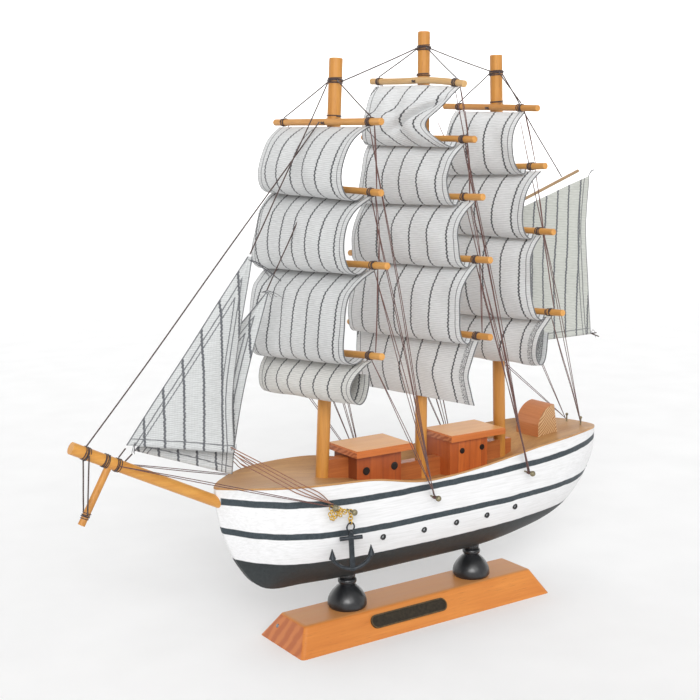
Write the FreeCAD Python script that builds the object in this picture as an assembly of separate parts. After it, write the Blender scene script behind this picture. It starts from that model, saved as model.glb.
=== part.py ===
"""Three-masted square-rigged ship model on a wooden display stand.

Frame in millimetres: bow toward -X, stern toward +X, port side -Y, +Z up,
origin at the centre of the stand's underside.
"""
import math
import os

import FreeCAD
import Part

V = FreeCAD.Vector
X_AXIS = V(1, 0, 0)
Y_AXIS = V(0, 1, 0)
Z_AXIS = V(0, 0, 1)

# ---- stand --------------------------------------------------------------
BASE_LENGTH = 168.0
BASE_WIDTH = 42.0
BASE_TOP_LENGTH = 153.0
BASE_TOP_WIDTH = 24.0
BASE_HEIGHT = 13.4
BASE_EDGE_RADIUS = 2.6
PEDESTAL_X = 42.6
PEDESTAL_RADIUS = 10.4
PLATE_LENGTH = 50.0
PLATE_WIDTH = 7.2
PLATE_THICKNESS = 0.9
PLATE_CENTRE_X = -13.3
PLATE_RISE = 0.58
SCREW_RADIUS = 1.3
SCREW_TIP_Z = 44.0

# ---- hull: x, half beam, keel z, deck edge z, deck middle z -------------
STATIONS = [
    (-120.0, 1.2, 84.5, 89.5, 89.5),
    (-118.3, 3.4, 74.5, 89.6, 89.5),
    (-115.5, 6.6, 64.5, 89.8, 89.4),
    (-111.0, 10.6, 54.0, 89.9, 89.2),
    (-105.0, 15.2, 44.5, 90.0, 89.0),
    (-98.5, 19.4, 37.2, 90.1, 88.8),
    (-91.0, 23.0, 34.0, 90.1, 88.4),
    (-78.0, 26.8, 33.2, 90.0, 87.6),
    (-60.0, 29.0, 32.2, 89.6, 85.4),
    (-45.0, 29.5, 31.6, 88.6, 83.2),
    (-30.0, 29.6, 31.3, 85.8, 80.6),
    (-15.0, 29.7, 31.3, 83.4, 77.6),
    (0.0, 29.9, 31.3, 83.4, 75.4),
    (15.0, 30.2, 31.3, 84.4, 75.4),
    (35.0, 30.6, 31.4, 86.8, 77.0),
    (55.0, 30.4, 32.6, 89.4, 78.4),
    (66.0, 29.9, 34.0, 90.6, 80.2),
    (78.0, 28.9, 36.0, 91.4, 86.6),
    (92.0, 26.8, 39.0, 92.0, 89.4),
    (104.0, 23.6, 43.5, 92.2, 90.4),
    (114.0, 19.4, 49.5, 91.8, 90.8),
    (122.0, 14.8, 56.5, 91.0, 90.4),
    (128.0, 9.8, 64.0, 90.2, 89.9),
    (131.8, 5.2, 72.5, 89.5, 89.4),
    (133.4, 1.9, 79.5, 89.2, 89.2),
]
KEEL_HALF_WIDTH = 4.0
# share of the height above the keel, share of the half beam there
SIDE_SHAPE = [(0.12, 0.46), (0.30, 0.73), (0.57, 0.93), (0.85, 0.985)]
DECK_THICKNESS = 1.0
GLUE = 0.06

# ---- spars --------------------------------------------------------------
# foot x, foot z, top x, top z, radius
MASTS = {
    "foremast": (-58.1, 86.0, -48.4, 296.5, 3.4),
    "mainmast": (5.9, 75.8, 5.9, 312.1, 3.2),
    "mizzenmast": (62.5, 79.8, 54.9, 302.5, 3.4),
}
MAST_TENON = 11.0
BAND_Z = {"foremast": 285.5, "mainmast": 303.8, "mizzenmast": 293.0}
YARD_RADIUS = 1.7
THREAD = 0.25
WRAP_RADIUS = 2.1
WRAP_WIDTH = 3.2
# mast, height, length, tilt in degrees, distance of the thread wraps
YARDS = {
    "fore_yard_1": ("foremast", 265.5, 95.3, 1.1, 38.0),
    "fore_yard_2": ("foremast", 233.4, 99.5, 1.5, 41.0),
    "fore_yard_3": ("foremast", 196.7, 114.3, -2.2, 45.5),
    "fore_yard_4": ("foremast", 152.1, 112.1, -4.6, 45.7),
    "main_yard_1": ("mainmast", 287.3, 78.2, 0.0, 31.8),
    "main_yard_2": ("mainmast", 258.0, 95.4, 1.4, 38.4),
    "main_yard_3": ("mainmast", 228.1, 109.0, -1.1, 40.1),
    "main_yard_4": ("mainmast", 196.8, 121.6, -2.0, 49.0),
    "main_yard_5": ("mainmast", 158.2, 123.5, -2.8, 51.1),
    "mizzen_yard_1": ("mizzenmast", 274.8, 76.7, 2.7, 24.5),
    "mizzen_yard_2": ("mizzenmast", 242.9, 87.5, -1.0, 32.5),
    "mizzen_yard_3": ("mizzenmast", 209.8, 99.6, -0.3, 38.2),
    "mizzen_yard_4": ("mizzenmast", 165.4, 113.2, -3.3, 46.3),
}
BENT_YARD_RISE = 1.5
BENT_YARD_DROOP = -3.6
BOWSPRIT_TIP = (-191.8, 120.1)
BOWSPRIT_HEEL = (-113.0, 80.2)
BOWSPRIT_RADIUS = 2.9
STRIKER_TOP = (-173.9, 109.6)
STRIKER_FOOT = (-188.3, 83.6)
STRIKER_RADIUS = 1.7
GAFF_HEEL = (60.0, 218.5)
GAFF_PEAK = (118.5, 240.4)
GAFF_RADIUS = 0.9

# ---- cloth --------------------------------------------------------------
CLOTH = 0.6
BELLY = {"foremast": 14.8, "mainmast": 9.0, "mizzenmast": 9.0}

# ---- deck fittings ------------------------------------------------------
PIN_RADIUS = 0.45
PIN_REACH = 5.8
PIN_HEAD = 1.55
DRUM_START = 2.2
DRUM_RADIUS = 0.95
SLOT = 0.62
SIDE_PINS = [(-72.0, 80.3), (-10.0, 75.2), (54.6, 78.6)]
CHAIN_PIN = (-61.5, 76.4)
STERN_PIN = (120.5, 5.8)
LINK_RADIUS = 1.17
LINK_WIRE = 0.28
LINK_PLAY = 0.03
BUNCH_PITCH = 1.7
ANCHOR_RING = 2.2
ANCHOR_WIRE = 0.4
ANCHOR_YAW = 22.0
ANCHOR_LEAN = -3.0


def lerp_table(x, column):
    """Value of one station column at x, linear between stations."""
    if x <= STATIONS[0][0]:
        return STATIONS[0][column]
    for low, high in zip(STATIONS, STATIONS[1:]):
        if x <= high[0]:
            t = (x - low[0]) / (high[0] - low[0])
            return low[column] * (1 - t) + high[column] * t
    return STATIONS[-1][column]


def spline(points):
    curve = Part.BSplineCurve()
    curve.interpolate([V(*p) for p in points])
    return curve.toShape()


def rod(start, end, radius):
    axis = V(*end) - V(*start)
    return Part.makeCylinder(radius, axis.Length, V(*start), axis)


def box(x0, x1, y0, y1, z0, z1):
    return Part.makeBox(x1 - x0, y1 - y0, z1 - z0, V(x0, y0, z0))


def mirrored(shape):
    return shape.mirror(V(0, 0, 0), Y_AXIS)


def both_sides(shapes):
    return list(shapes) + [mirrored(s) for s in shapes]


def group(shapes):
    return Part.Compound(list(shapes))


def largest(shape):
    return max(shape.Solids, key=lambda s: s.Volume)


# ---- hull ---------------------------------------------------------------
def side_points(x, beam, keel, edge, sign):
    foot = min(KEEL_HALF_WIDTH, 0.45 * beam, 0.6 + 0.11 * (x - STATIONS[0][0]))
    points = [(x, sign * foot, keel)]
    for rise, share in SIDE_SHAPE:
        fine = min(1.0, 0.72 + 0.28 * beam / 24.0)
        width = max(foot, beam * share * (fine if rise < 0.5 else 1.0))
        points.append((x, sign * width, keel + rise * (edge - keel)))
    points.append((x, sign * beam, edge))
    return points


def hull_section(station):
    x, beam, keel, edge, middle = station
    port = side_points(x, beam, keel, edge, -1)
    starboard = side_points(x, beam, keel, edge, 1)
    bottom = Part.makeLine(V(*port[0]), V(*starboard[0]))
    crown = spline([starboard[-1], (x, 0, middle), port[-1]])
    return Part.Wire([bottom, spline(starboard), crown, spline(port[::-1])])


def deck_section(station):
    x, beam, keel, edge, middle = station
    low, top = GLUE, DECK_THICKNESS
    under = spline([(x, beam, edge + low), (x, 0, middle + low), (x, -beam, edge + low)])
    over = spline([(x, -beam, edge + top), (x, 0, middle + top), (x, beam, edge + top)])
    port = Part.makeLine(V(x, -beam, edge + low), V(x, -beam, edge + top))
    starboard = Part.makeLine(V(x, beam, edge + top), V(x, beam, edge + low))
    return Part.Wire([under, port, over, starboard])


def envelope_section(station):
    """Outline of the hull and the deck board on it, as one closed wire."""
    x, beam, keel, edge, middle = station
    top = DECK_THICKNESS + GLUE
    port = side_points(x, beam, keel, edge, -1)
    starboard = side_points(x, beam, keel, edge, 1)
    return Part.Wire([
        Part.makeLine(V(*port[0]), V(*starboard[0])), spline(starboard),
        Part.makeLine(V(x, beam, edge), V(x, beam, edge + top)),
        spline([(x, beam, edge + top), (x, 0, middle + top), (x, -beam, edge + top)]),
        Part.makeLine(V(x, -beam, edge + top), V(x, -beam, edge)), spline(port[::-1]),
    ])


def hull_side_y(hull, x, z):
    """Half breadth of the hull surface at x and height z."""
    ray = Part.makeLine(V(x, 0, z), V(x, 60, z))
    return max(v.Y for v in hull.common(ray).Vertexes)


hull_raw = Part.makeLoft([hull_section(s) for s in STATIONS], True, False)
deck_raw = Part.makeLoft([deck_section(s) for s in STATIONS], True, False)
ship_block = Part.makeLoft([envelope_section(s) for s in STATIONS], True, False)


# ---- stand --------------------------------------------------------------
def base_wire(length, width, z):
    dx, dy = length / 2, width / 2
    return Part.makePolygon([V(-dx, -dy, z), V(dx, -dy, z), V(dx, dy, z), V(-dx, dy, z), V(-dx, -dy, z)])


def stand_screw(x):
    shaft = Part.makeCylinder(SCREW_RADIUS, SCREW_TIP_Z - 3.0, V(x, 0, 1.0))
    tip = Part.makeCone(SCREW_RADIUS, 0.4, 2.0, V(x, 0, SCREW_TIP_Z - 2.0))
    head = Part.makeCone(2.8, SCREW_RADIUS, 1.9, V(x, 0, 0.4))
    return shaft.fuse([tip, head]).removeSplitter()


def pedestal(x):
    z = BASE_HEIGHT
    outline = [
        (0.0, z), (PEDESTAL_RADIUS - 0.7, z), (PEDESTAL_RADIUS, z + 1.2),
    ]
    dome = [
        (PEDESTAL_RADIUS, z + 1.2), (PEDESTAL_RADIUS - 0.25, z + 4.4), (8.3, z + 8.0),
        (5.6, z + 11.0), (3.9, z + 12.5),
    ]
    ring = [(3.9, z + 12.5), (4.9, z + 13.6), (4.95, z + 14.9), (3.9, z + 15.9)]
    top = [(3.9, z + 15.9), (4.3, z + 16.8), (4.3, z + 18.6), (0.0, z + 18.6), (0.0, z)]
    edges = [Part.makeLine(V(a[0], 0, a[1]), V(b[0], 0, b[1])) for a, b in zip(outline, outline[1:])]
    edges.append(spline([(r, 0, h) for r, h in dome]))
    edges.append(spline([(r, 0, h) for r, h in ring]))
    edges += [Part.makeLine(V(a[0], 0, a[1]), V(b[0], 0, b[1])) for a, b in zip(top, top[1:])]
    turned = Part.Face(Part.Wire(edges)).revolve(V(0, 0, 0), Z_AXIS, 360)
    turned.translate(V(x, 0, 0))
    return Part.Solid(turned.Shells[0]) if turned.ShapeType != "Solid" else turned


def base_block():
    frustum = Part.makeLoft(
        [base_wire(BASE_LENGTH, BASE_WIDTH, 0), base_wire(BASE_TOP_LENGTH, BASE_TOP_WIDTH, BASE_HEIGHT)],
        True, True,
    )
    edges = [e for e in frustum.Edges if max(v.Z for v in e.Vertexes) > 1.0]
    return frustum.makeFillet(BASE_EDGE_RADIUS, edges)


def name_plate():
    run = (BASE_WIDTH - BASE_TOP_WIDTH) / 2
    slope = math.degrees(math.atan2(run, BASE_HEIGHT))
    half = PLATE_LENGTH / 2 - PLATE_WIDTH / 2

    def stadium(radius, depth, lift):
        slab = Part.makeBox(2 * half, 2 * radius, depth, V(-half, -radius, lift))
        ends = [Part.makeCylinder(radius, depth, V(s * half, 0, lift)) for s in (-1, 1)]
        return slab.fuse(ends).removeSplitter()

    plate = stadium(PLATE_WIDTH / 2, PLATE_THICKNESS, 0.0)
    recess = stadium(PLATE_WIDTH / 2 - 0.7, PLATE_THICKNESS, PLATE_THICKNESS - 0.3)
    plate = plate.cut(recess)
    plate.rotate(V(0, 0, 0), X_AXIS, 90 - slope)
    y = -BASE_WIDTH / 2 + PLATE_RISE * run
    plate.translate(V(PLATE_CENTRE_X, y, PLATE_RISE * BASE_HEIGHT))
    return plate


# ---- spars --------------------------------------------------------------
def mast_x(mast, z):
    foot_x, foot_z, top_x, top_z, radius = MASTS[mast]
    return foot_x + (top_x - foot_x) * (z - foot_z) / (top_z - foot_z)


def mast_solid(mast):
    foot_x, foot_z, top_x, top_z, radius = MASTS[mast]
    low = foot_z - MAST_TENON
    pole = rod((mast_x(mast, low), 0, low), (top_x, 0, top_z), radius)
    rim = [e for e in pole.Edges if min(v.Z for v in e.Vertexes) > top_z - 2 and e.Closed]
    return pole.makeFillet(0.7, rim[:1])


def yard_x(mast, z):
    return mast_x(mast, z) - MASTS[mast][4] - YARD_RADIUS - 0.05


def yard_point(yard, along):
    """Point on the yard's axis, along measured from its middle toward starboard."""
    mast, z, length, tilt, wrap = YARDS[yard]
    if yard == "main_yard_1":
        share = abs(along) / (length / 2)
        bend = BENT_YARD_RISE if along > 0 else BENT_YARD_DROOP
        return V(yard_x(mast, z), along, z + bend * share ** 1.6)
    a = math.radians(tilt)
    return V(yard_x(mast, z), along * math.cos(a), z + along * math.sin(a))


def yard_solid(yard):
    half = YARDS[yard][2] / 2
    if yard != "main_yard_1":
        start, end = yard_point(yard, -half), yard_point(yard, half)
        pole = Part.makeCylinder(YARD_RADIUS, (end - start).Length, start, end - start)
        rims = [e for e in pole.Edges if e.Closed]
        return pole.makeFillet(0.4, rims)
    points = [yard_point(yard, half * t / 6.0) for t in range(-6, 7)]
    curve = Part.BSplineCurve()
    curve.interpolate(points)
    path = Part.Wire([curve.toShape()])
    ring = Part.Wire([Part.makeCircle(YARD_RADIUS, points[0], points[1] - points[0])])
    return path.makePipeShell([ring], True, False)


def wrap_ring(yard, along):
    """Thread turns around a yard, the width of the ring along its axis."""
    half = WRAP_WIDTH / 2
    start, end = yard_point(yard, along - half), yard_point(yard, along + half)
    return Part.makeCylinder(WRAP_RADIUS, (end - start).Length, start, end - start)


masts = {name: mast_solid(name) for name in MASTS}
yards = {name: yard_solid(name) for name in YARDS}
mast_yards = {m: [y for y in YARDS if YARDS[y][0] == m] for m in MASTS}


def spar_xz(start, end, radius):
    return rod((start[0], 0, start[1]), (end[0], 0, end[1]), radius)


bowsprit = largest(spar_xz(BOWSPRIT_TIP, BOWSPRIT_HEEL, BOWSPRIT_RADIUS).cut(ship_block))
striker = largest(spar_xz(STRIKER_TOP, STRIKER_FOOT, STRIKER_RADIUS).cut(bowsprit))
gaff = largest(spar_xz(GAFF_HEEL, GAFF_PEAK, GAFF_RADIUS).cut(masts["mizzenmast"]))


# ---- square sails -------------------------------------------------------
def billow(yard, next_yard, side, belly):
    """Front profile of one sail at its side edge, from its yard to the next one."""
    top = yard_point(yard, side * YARDS[yard][4])
    low = yard_point(next_yard, side * YARDS[next_yard][4])
    drop = top.z - low.z

    def at(forward, down):
        t = down / drop
        y = top.y * (1 - t) + low.y * t
        return (top.x * (1 - t) + low.x * t - forward, y, top.z - down)

    return [
        at(0.5, 2.5), at(0.2 * belly, 4.0), at(0.42 * belly, 6.4), at(0.64 * belly, 10.0),
        at(0.83 * belly, 15.0), at(0.97 * belly, 0.66 * drop), at(belly, 0.85 * drop),
        at(0.89 * belly, drop + 0.6), at(0.65 * belly, drop + 3.4), at(0.43 * belly, drop + 3.6),
        at(2.8, drop + 1.4),
    ]


def rolled(yard, side, points):
    """Lowest sail of a mast, given as forward and downward offsets from its yard."""
    top = yard_point(yard, side * YARDS[yard][4])
    return [(top.x - forward, top.y, top.z - down) for forward, down in points]


def cloth_section(points):
    """Closed thin outline around a profile lying in a plane of constant y."""
    y = points[0][1]
    front, back = [], []
    last = len(points) - 1
    for i, p in enumerate(points):
        a, b = points[max(0, i - 1)], points[min(last, i + 1)]
        tx, tz = b[0] - a[0], b[2] - a[2]
        size = math.hypot(tx, tz)
        nx, nz = -tz / size * CLOTH / 2, tx / size * CLOTH / 2
        front.append((p[0] + nx, y, p[2] + nz))
        back.append((p[0] - nx, y, p[2] - nz))
    head = Part.makeLine(V(*back[0]), V(*front[0]))
    foot = Part.makeLine(V(*front[-1]), V(*back[-1]))
    return Part.Wire([head, spline(front), foot, spline(back[::-1])])


def level(points):
    """Profile moved into the plane of its middle y, so its outline is flat."""
    y = sum(p[1] for p in points) / len(points)
    return [(p[0], y, p[2]) for p in points]


def sail_solid(profile_of_side):
    port = cloth_section(level(profile_of_side(-1)))
    starboard = cloth_section(level(profile_of_side(1)))
    return Part.makeLoft([port, starboard], True, True)


FORE_ROLL = [
    (0.5, 2.6), (3.4, 4.6), (7.6, 9.5), (9.4, 15.0), (8.2, 20.5), (4.6, 23.6), (1.2, 21.6),
    (-0.6, 16.0), (-0.5, 9.5),
]
MIZZEN_ROLL = [
    (0.5, 2.6), (2.6, 6.0), (5.8, 11.0), (7.2, 17.0), (6.4, 24.0), (3.6, 28.2), (0.8, 26.6),
    (-0.8, 20.0), (-0.7, 11.0),
]
MAIN_COURSE = [(0.5, 2.6), (1.7, 8.0), (2.6, 15.0), (2.6, 23.0), (1.6, 30.0), (0.0, 35.6)]
LOWEST = {"foremast": FORE_ROLL, "mainmast": MAIN_COURSE, "mizzenmast": MIZZEN_ROLL}

sails = {}
for mast, names in mast_yards.items():
    prefix = mast.replace("mast", "")
    for number, (yard, next_yard) in enumerate(zip(names, names[1:]), 1):
        sails["%s_sail_%d" % (prefix, number)] = sail_solid(
            lambda side, a=yard, b=next_yard, d=BELLY[mast]: billow(a, b, side, d)
        )
    sails["%s_sail_%d" % (prefix, len(names))] = sail_solid(
        lambda side, a=names[-1], p=LOWEST[mast]: rolled(a, side, p)
    )


# ---- fore-and-aft sails -------------------------------------------------
def flat_sail(corners, y):
    """Flat cloth in the plane y, its corners given as x, z."""
    points = [V(x, y - CLOTH / 2, z) for x, z in corners]
    return Part.Face(Part.makePolygon(points + points[:1])).extrude(V(0, CLOTH, 0))


OUTER_JIB = [
    (-166.7, 120.6), (-102.0, 201.6), (-98.9, 202.0), (-110.2, 142.9), (-110.7, 107.0), (-166.6, 117.8),
]
INNER_JIB = [
    (-159.7, 114.5), (-87.8, 182.9), (-86.7, 182.3), (-99.8, 140.8), (-106.0, 111.5), (-108.3, 94.4),
    (-159.7, 113.1),
]
SPANKER = [
    (66.6, 217.5), (80.0, 223.4), (95.0, 229.6), (112.0, 234.6), (127.2, 237.4), (126.6, 198.0),
    (133.0, 144.2), (68.2, 143.6),
]
OUTER_JIB_Y = -3.4
INNER_JIB_Y = 3.4
outer_jib = flat_sail(OUTER_JIB, OUTER_JIB_Y)
inner_jib = flat_sail(INNER_JIB, INNER_JIB_Y)
spanker = flat_sail(SPANKER, 0.0)


# ---- cabins and blocks on deck ------------------------------------------
def on_deck(shape):
    return max(shape.cut(ship_block).Solids, key=lambda s: s.BoundBox.ZMax)


def cabin_roof(x0, x1, half_width, z0, z1):
    slab = box(x0, x1, -half_width, half_width, z0, z1)
    rim = [e for e in slab.Edges if min(v.Z for v in e.Vertexes) > z1 - 0.1]
    return slab.makeChamfer(0.7, rim)


FORE_HOUSE = (-43.5, -15.2, 10.4)
AFT_HOUSE = (17.2, 43.6, 11.2)
FORE_ROOF = (-45.9, -9.6, 14.0, 96.7, 100.2)
AFT_ROOF = (16.4, 54.8, 13.4, 96.4, 99.9)
fore_house = on_deck(box(FORE_HOUSE[0], FORE_HOUSE[1], -FORE_HOUSE[2], FORE_HOUSE[2], 60, FORE_ROOF[3]))
aft_house = on_deck(box(AFT_HOUSE[0], AFT_HOUSE[1], -AFT_HOUSE[2], AFT_HOUSE[2], 60, AFT_ROOF[3]))
fore_roof = cabin_roof(*FORE_ROOF)
aft_roof = cabin_roof(*AFT_ROOF)

STRIP_HALF_WIDTH = 2.8
STRIPS = [(-57.2, -43.5, 95.2), (-15.2, 17.2, 86.6), (43.6, 68.5, 90.2)]
strips = []
for x0, x1, top in STRIPS:
    piece = box(x0, x1, -STRIP_HALF_WIDTH, STRIP_HALF_WIDTH, 60, top)
    piece = piece.cut(ship_block)
    for mast in masts.values():
        piece = piece.cut(mast)
    strips += [s for s in piece.Solids if s.BoundBox.ZMax > top - 0.5]


def stern_block():
    arc = Part.Arc(V(83.4, 0, 96.6), V(87.2, 0, 104.0), V(95.4, 0, 107.6)).toShape()
    edges = [
        Part.makeLine(V(83.4, 0, 70), V(83.4, 0, 96.6)), arc,
        Part.makeLine(V(95.4, 0, 107.6), V(98.4, 0, 90.0)), Part.makeLine(V(98.4, 0, 90.0), V(98.4, 0, 70)),
        Part.makeLine(V(98.4, 0, 70), V(83.4, 0, 70)),
    ]
    block = Part.Face(Part.Wire(edges)).extrude(V(0, 18.4, 0))
    block.translate(V(0, -9.2, 0))
    return on_deck(block)


CABIN_PORTS = [
    (-37.6, FORE_HOUSE[2], 88.4, 2.1), (-19.6, FORE_HOUSE[2], 88.6, 2.1),
    (25.6, AFT_HOUSE[2], 90.4, 1.6), (39.6, AFT_HOUSE[2], 90.6, 1.6),
]
HULL_PORTS = [(-38.0, 57.4), (-12.0, 56.6), (9.4, 56.9), (30.4, 57.3), (50.7, 58.6)]


def cabin_port(x, y, z, radius):
    return Part.makeCylinder(radius, 1.5, V(x, y - 1.2, z), Y_AXIS)


def hull_port(x, z):
    y = hull_side_y(hull_raw, x, z)
    rim = Part.makeCylinder(1.6, 2.0, V(x, y - 1.5, z), Y_AXIS)
    bore = Part.makeCylinder(0.8, 0.7, V(x, y - 0.2, z), Y_AXIS)
    return rim.cut(bore)


# ---- pins ---------------------------------------------------------------
def side_pin(x, z):
    y = hull_side_y(hull_raw, x, z)
    shank = Part.makeCylinder(PIN_RADIUS, PIN_REACH + 5.0, V(x, y - 5.0, z), Y_AXIS)
    head = Part.makeSphere(PIN_HEAD, V(x, y + PIN_REACH + 0.55, z))
    return shank.fuse(head).removeSplitter()


def stern_pin():
    x, y = STERN_PIN
    z = lerp_table(x, 3) + DECK_THICKNESS
    shank = Part.makeCylinder(PIN_RADIUS, 7.6, V(x, y, z - 4.0))
    head = Part.makeSphere(0.85, V(x, y, z + 3.9))
    return shank.fuse(head).removeSplitter()


pins = both_sides([side_pin(x, z) for x, z in SIDE_PINS + [CHAIN_PIN]] + [stern_pin()])
ports = both_sides([hull_port(x, z) for x, z in HULL_PORTS])
house_ports = both_sides([cabin_port(*p) for p in CABIN_PORTS])


# ---- chain and anchor (starboard, mirrored for port) --------------------
CHAIN_Y = hull_side_y(hull_raw, CHAIN_PIN[0], CHAIN_PIN[1]) + 2.9
PITCH = 2 * (LINK_RADIUS - LINK_WIRE) - LINK_PLAY
FIRST_LINK_Z = CHAIN_PIN[1] + PIN_RADIUS + LINK_WIRE + 0.02 - LINK_RADIUS
LINK_COUNT = 4
LAST_LINK_Z = FIRST_LINK_Z - PITCH * (LINK_COUNT - 1)
RING_Z = LAST_LINK_Z - LINK_RADIUS - ANCHOR_RING + LINK_WIRE + ANCHOR_WIRE + LINK_PLAY


def link(centre, normal):
    return Part.makeTorus(LINK_RADIUS, LINK_WIRE, V(*centre), V(*normal))


def chain():
    x = CHAIN_PIN[0]
    made = []
    for i in range(LINK_COUNT):
        normal = (0, 1, 0) if i % 2 == 0 else (1, 0, 0)
        made.append(link((x, CHAIN_Y, FIRST_LINK_Z - PITCH * i), normal))
    return made


def chain_bunch():
    """Spare links looped below the forward pin, as a slack chain hung on it."""
    x0, z0 = SIDE_PINS[0]
    y = hull_side_y(hull_raw, x0, z0) + 1.6
    x, z = x0, z0 - 0.42
    made = [link((x, y, z), (0, 1, 0))]
    for lean in (46.0, 4.0, -42.0):
        dx, dz = -math.sin(math.radians(lean)), -math.cos(math.radians(lean))
        made.append(link((x + BUNCH_PITCH * dx, y, z + BUNCH_PITCH * dz), (-dz, 0, dx)))
        x, z = x + 2 * BUNCH_PITCH * dx, z + 2 * BUNCH_PITCH * dz
        made.append(link((x, y, z), (0, 1, 0)))
    return made


def anchor():
    x, y = CHAIN_PIN[0], CHAIN_Y
    ring = Part.makeTorus(ANCHOR_RING, ANCHOR_WIRE, V(x, y, RING_Z), Y_AXIS)
    top = RING_Z - ANCHOR_RING + 0.2
    crown = top - 20.6
    shank = box(x - 1.2, x + 1.2, y - 0.9, y + 0.9, crown, top - 0.2)
    eye = Part.makeSphere(1.35, V(x, y, top - 0.7))
    stock = Part.makeCylinder(1.05, 11.4, V(x - 5.7, y, top - 3.6), X_AXIS)
    arm_radius = 10.8
    centre = V(x, y, crown + 1.0 + arm_radius)
    reach = 66.0
    turn = math.radians(reach)
    start = V(x - arm_radius * math.sin(turn), y, centre.z - arm_radius * math.cos(turn))
    end = V(2 * x - start.x, y, start.z)
    path = Part.Wire([Part.Arc(start, V(x, y, crown + 1.0), end).toShape()])
    tangent = V(math.cos(turn), 0, -math.sin(turn))
    profile = Part.Wire([Part.makeCircle(1.0, start, tangent)])
    arms = path.makePipeShell([profile], True, True)
    flukes = [Part.makeCone(1.8, 0.15, 5.2, V(p.x, y, p.z - 0.2)) for p in (start, end)]
    body = shank.fuse([eye, stock, arms] + flukes)
    body.rotate(V(x, y, 0), Z_AXIS, ANCHOR_YAW)
    body.rotate(V(x, y, RING_Z), Y_AXIS, ANCHOR_LEAN)
    return body.fuse(ring).removeSplitter()


starboard_chain = chain()
starboard_anchor = anchor()
loops = chain_bunch()


# ---- lashings -----------------------------------------------------------
def mast_wrap(mast, z, height):
    radius = MASTS[mast][4]
    a = V(mast_x(mast, z - height / 2), 0, z - height / 2)
    b = V(mast_x(mast, z + height / 2), 0, z + height / 2)
    outer = Part.makeCylinder(radius + 0.5, (b - a).Length, a, b - a)
    return outer.cut(masts[mast])


def cross_lashing(yard):
    """Threads holding a yard: one turn round the mast above it and a cross in front."""
    mast, z, length, tilt, wrap = YARDS[yard]
    front = yard_x(mast, z) - YARD_RADIUS - 0.36
    first = rod((front, -2.0, z - 1.9), (front, 2.0, z + 2.2), 0.3)
    second = rod((front - 0.62, 2.0, z - 1.9), (front - 0.62, -2.0, z + 2.2), 0.3)
    collar = mast_wrap(mast, z + YARD_RADIUS + 1.3, 1.3)
    return [first, second, collar]


def spar_wrap(start, end, share, radius, width):
    a, b = V(start[0], 0, start[1]), V(end[0], 0, end[1])
    centre = a + (b - a) * share
    axis = V(b.x - a.x, 0, b.z - a.z).normalize()
    return Part.makeCylinder(radius, width, centre - axis * (width / 2), axis)


BOWSPRIT_WRAPS = [0.085, 0.205, 0.275]
lashings = []
for yard in YARDS:
    for side in (-1, 1):
        lashings.append(wrap_ring(yard, side * YARDS[yard][4]).cut(yards[yard]))
    lashings += cross_lashing(yard)
for mast, z in BAND_Z.items():
    lashings.append(mast_wrap(mast, z, 3.0))
for share in BOWSPRIT_WRAPS:
    wrap = spar_wrap(BOWSPRIT_TIP, BOWSPRIT_HEEL, share, BOWSPRIT_RADIUS + 0.4, 2.4)
    lashings.append(wrap.cut(bowsprit).cut(striker))
foot_wrap = spar_wrap(STRIKER_TOP, STRIKER_FOOT, 0.84, STRIKER_RADIUS + 0.4, 2.6).cut(striker)
lashings.append(foot_wrap)


# ---- rigging lines ------------------------------------------------------
def line(start, end):
    return rod(tuple(start), tuple(end), THREAD)


def off_yard(yard, along, target):
    """Start of a line on a yard's thread wrap, on the side that faces the target."""
    p = yard_point(yard, along)
    axis = (yard_point(yard, along + 1.0) - yard_point(yard, along - 1.0)).normalize()
    way = V(*target) - p
    way = way - axis * way.dot(axis)
    return p + way.normalize() * (WRAP_RADIUS + THREAD + 0.02)


def yard_to_yard(upper, lower, side):
    lift = V(WRAP_RADIUS + THREAD + 0.15, 0, 0)
    a = yard_point(upper, side * (YARDS[upper][4] + 0.3)) + lift
    b = yard_point(lower, side * (YARDS[lower][4] + 1.3)) + lift
    return line(a, b)


def pin_drum(x, z):
    """Thread turns around a side pin, just inside its head."""
    y = hull_side_y(hull_raw, x, z)
    turns = Part.makeCylinder(DRUM_RADIUS, 4 * SLOT, V(x, y + DRUM_START, z), Y_AXIS)
    return turns.cut(Part.makeCylinder(PIN_RADIUS, 8.0, V(x, y, z), Y_AXIS))


def fan(names, pin, side, slots):
    """Lines from the yard wraps of one mast down to the next pin aft."""
    x, z = pin
    y = hull_side_y(hull_raw, x, z)
    made = []
    for yard, slot in zip(names, slots):
        target = V(x, side * (y + DRUM_START + SLOT * (slot + 0.5)), z)
        start = off_yard(yard, side * (YARDS[yard][4] - 0.6), target)
        way = (start - target).normalize()
        made.append(line(start, target + way * (DRUM_RADIUS + THREAD)))
    return made


def stern_fan(names, side):
    x, y = STERN_PIN
    z = lerp_table(x, 3) + DECK_THICKNESS
    made = []
    for i, yard in enumerate(names):
        target = V(x, side * y, z + 0.7 + SLOT * (3 - i))
        start = off_yard(yard, side * (YARDS[yard][4] - 0.6), target)
        way = (start - target).normalize()
        made.append(line(start, target + way * (PIN_RADIUS + THREAD)))
    return made


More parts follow.
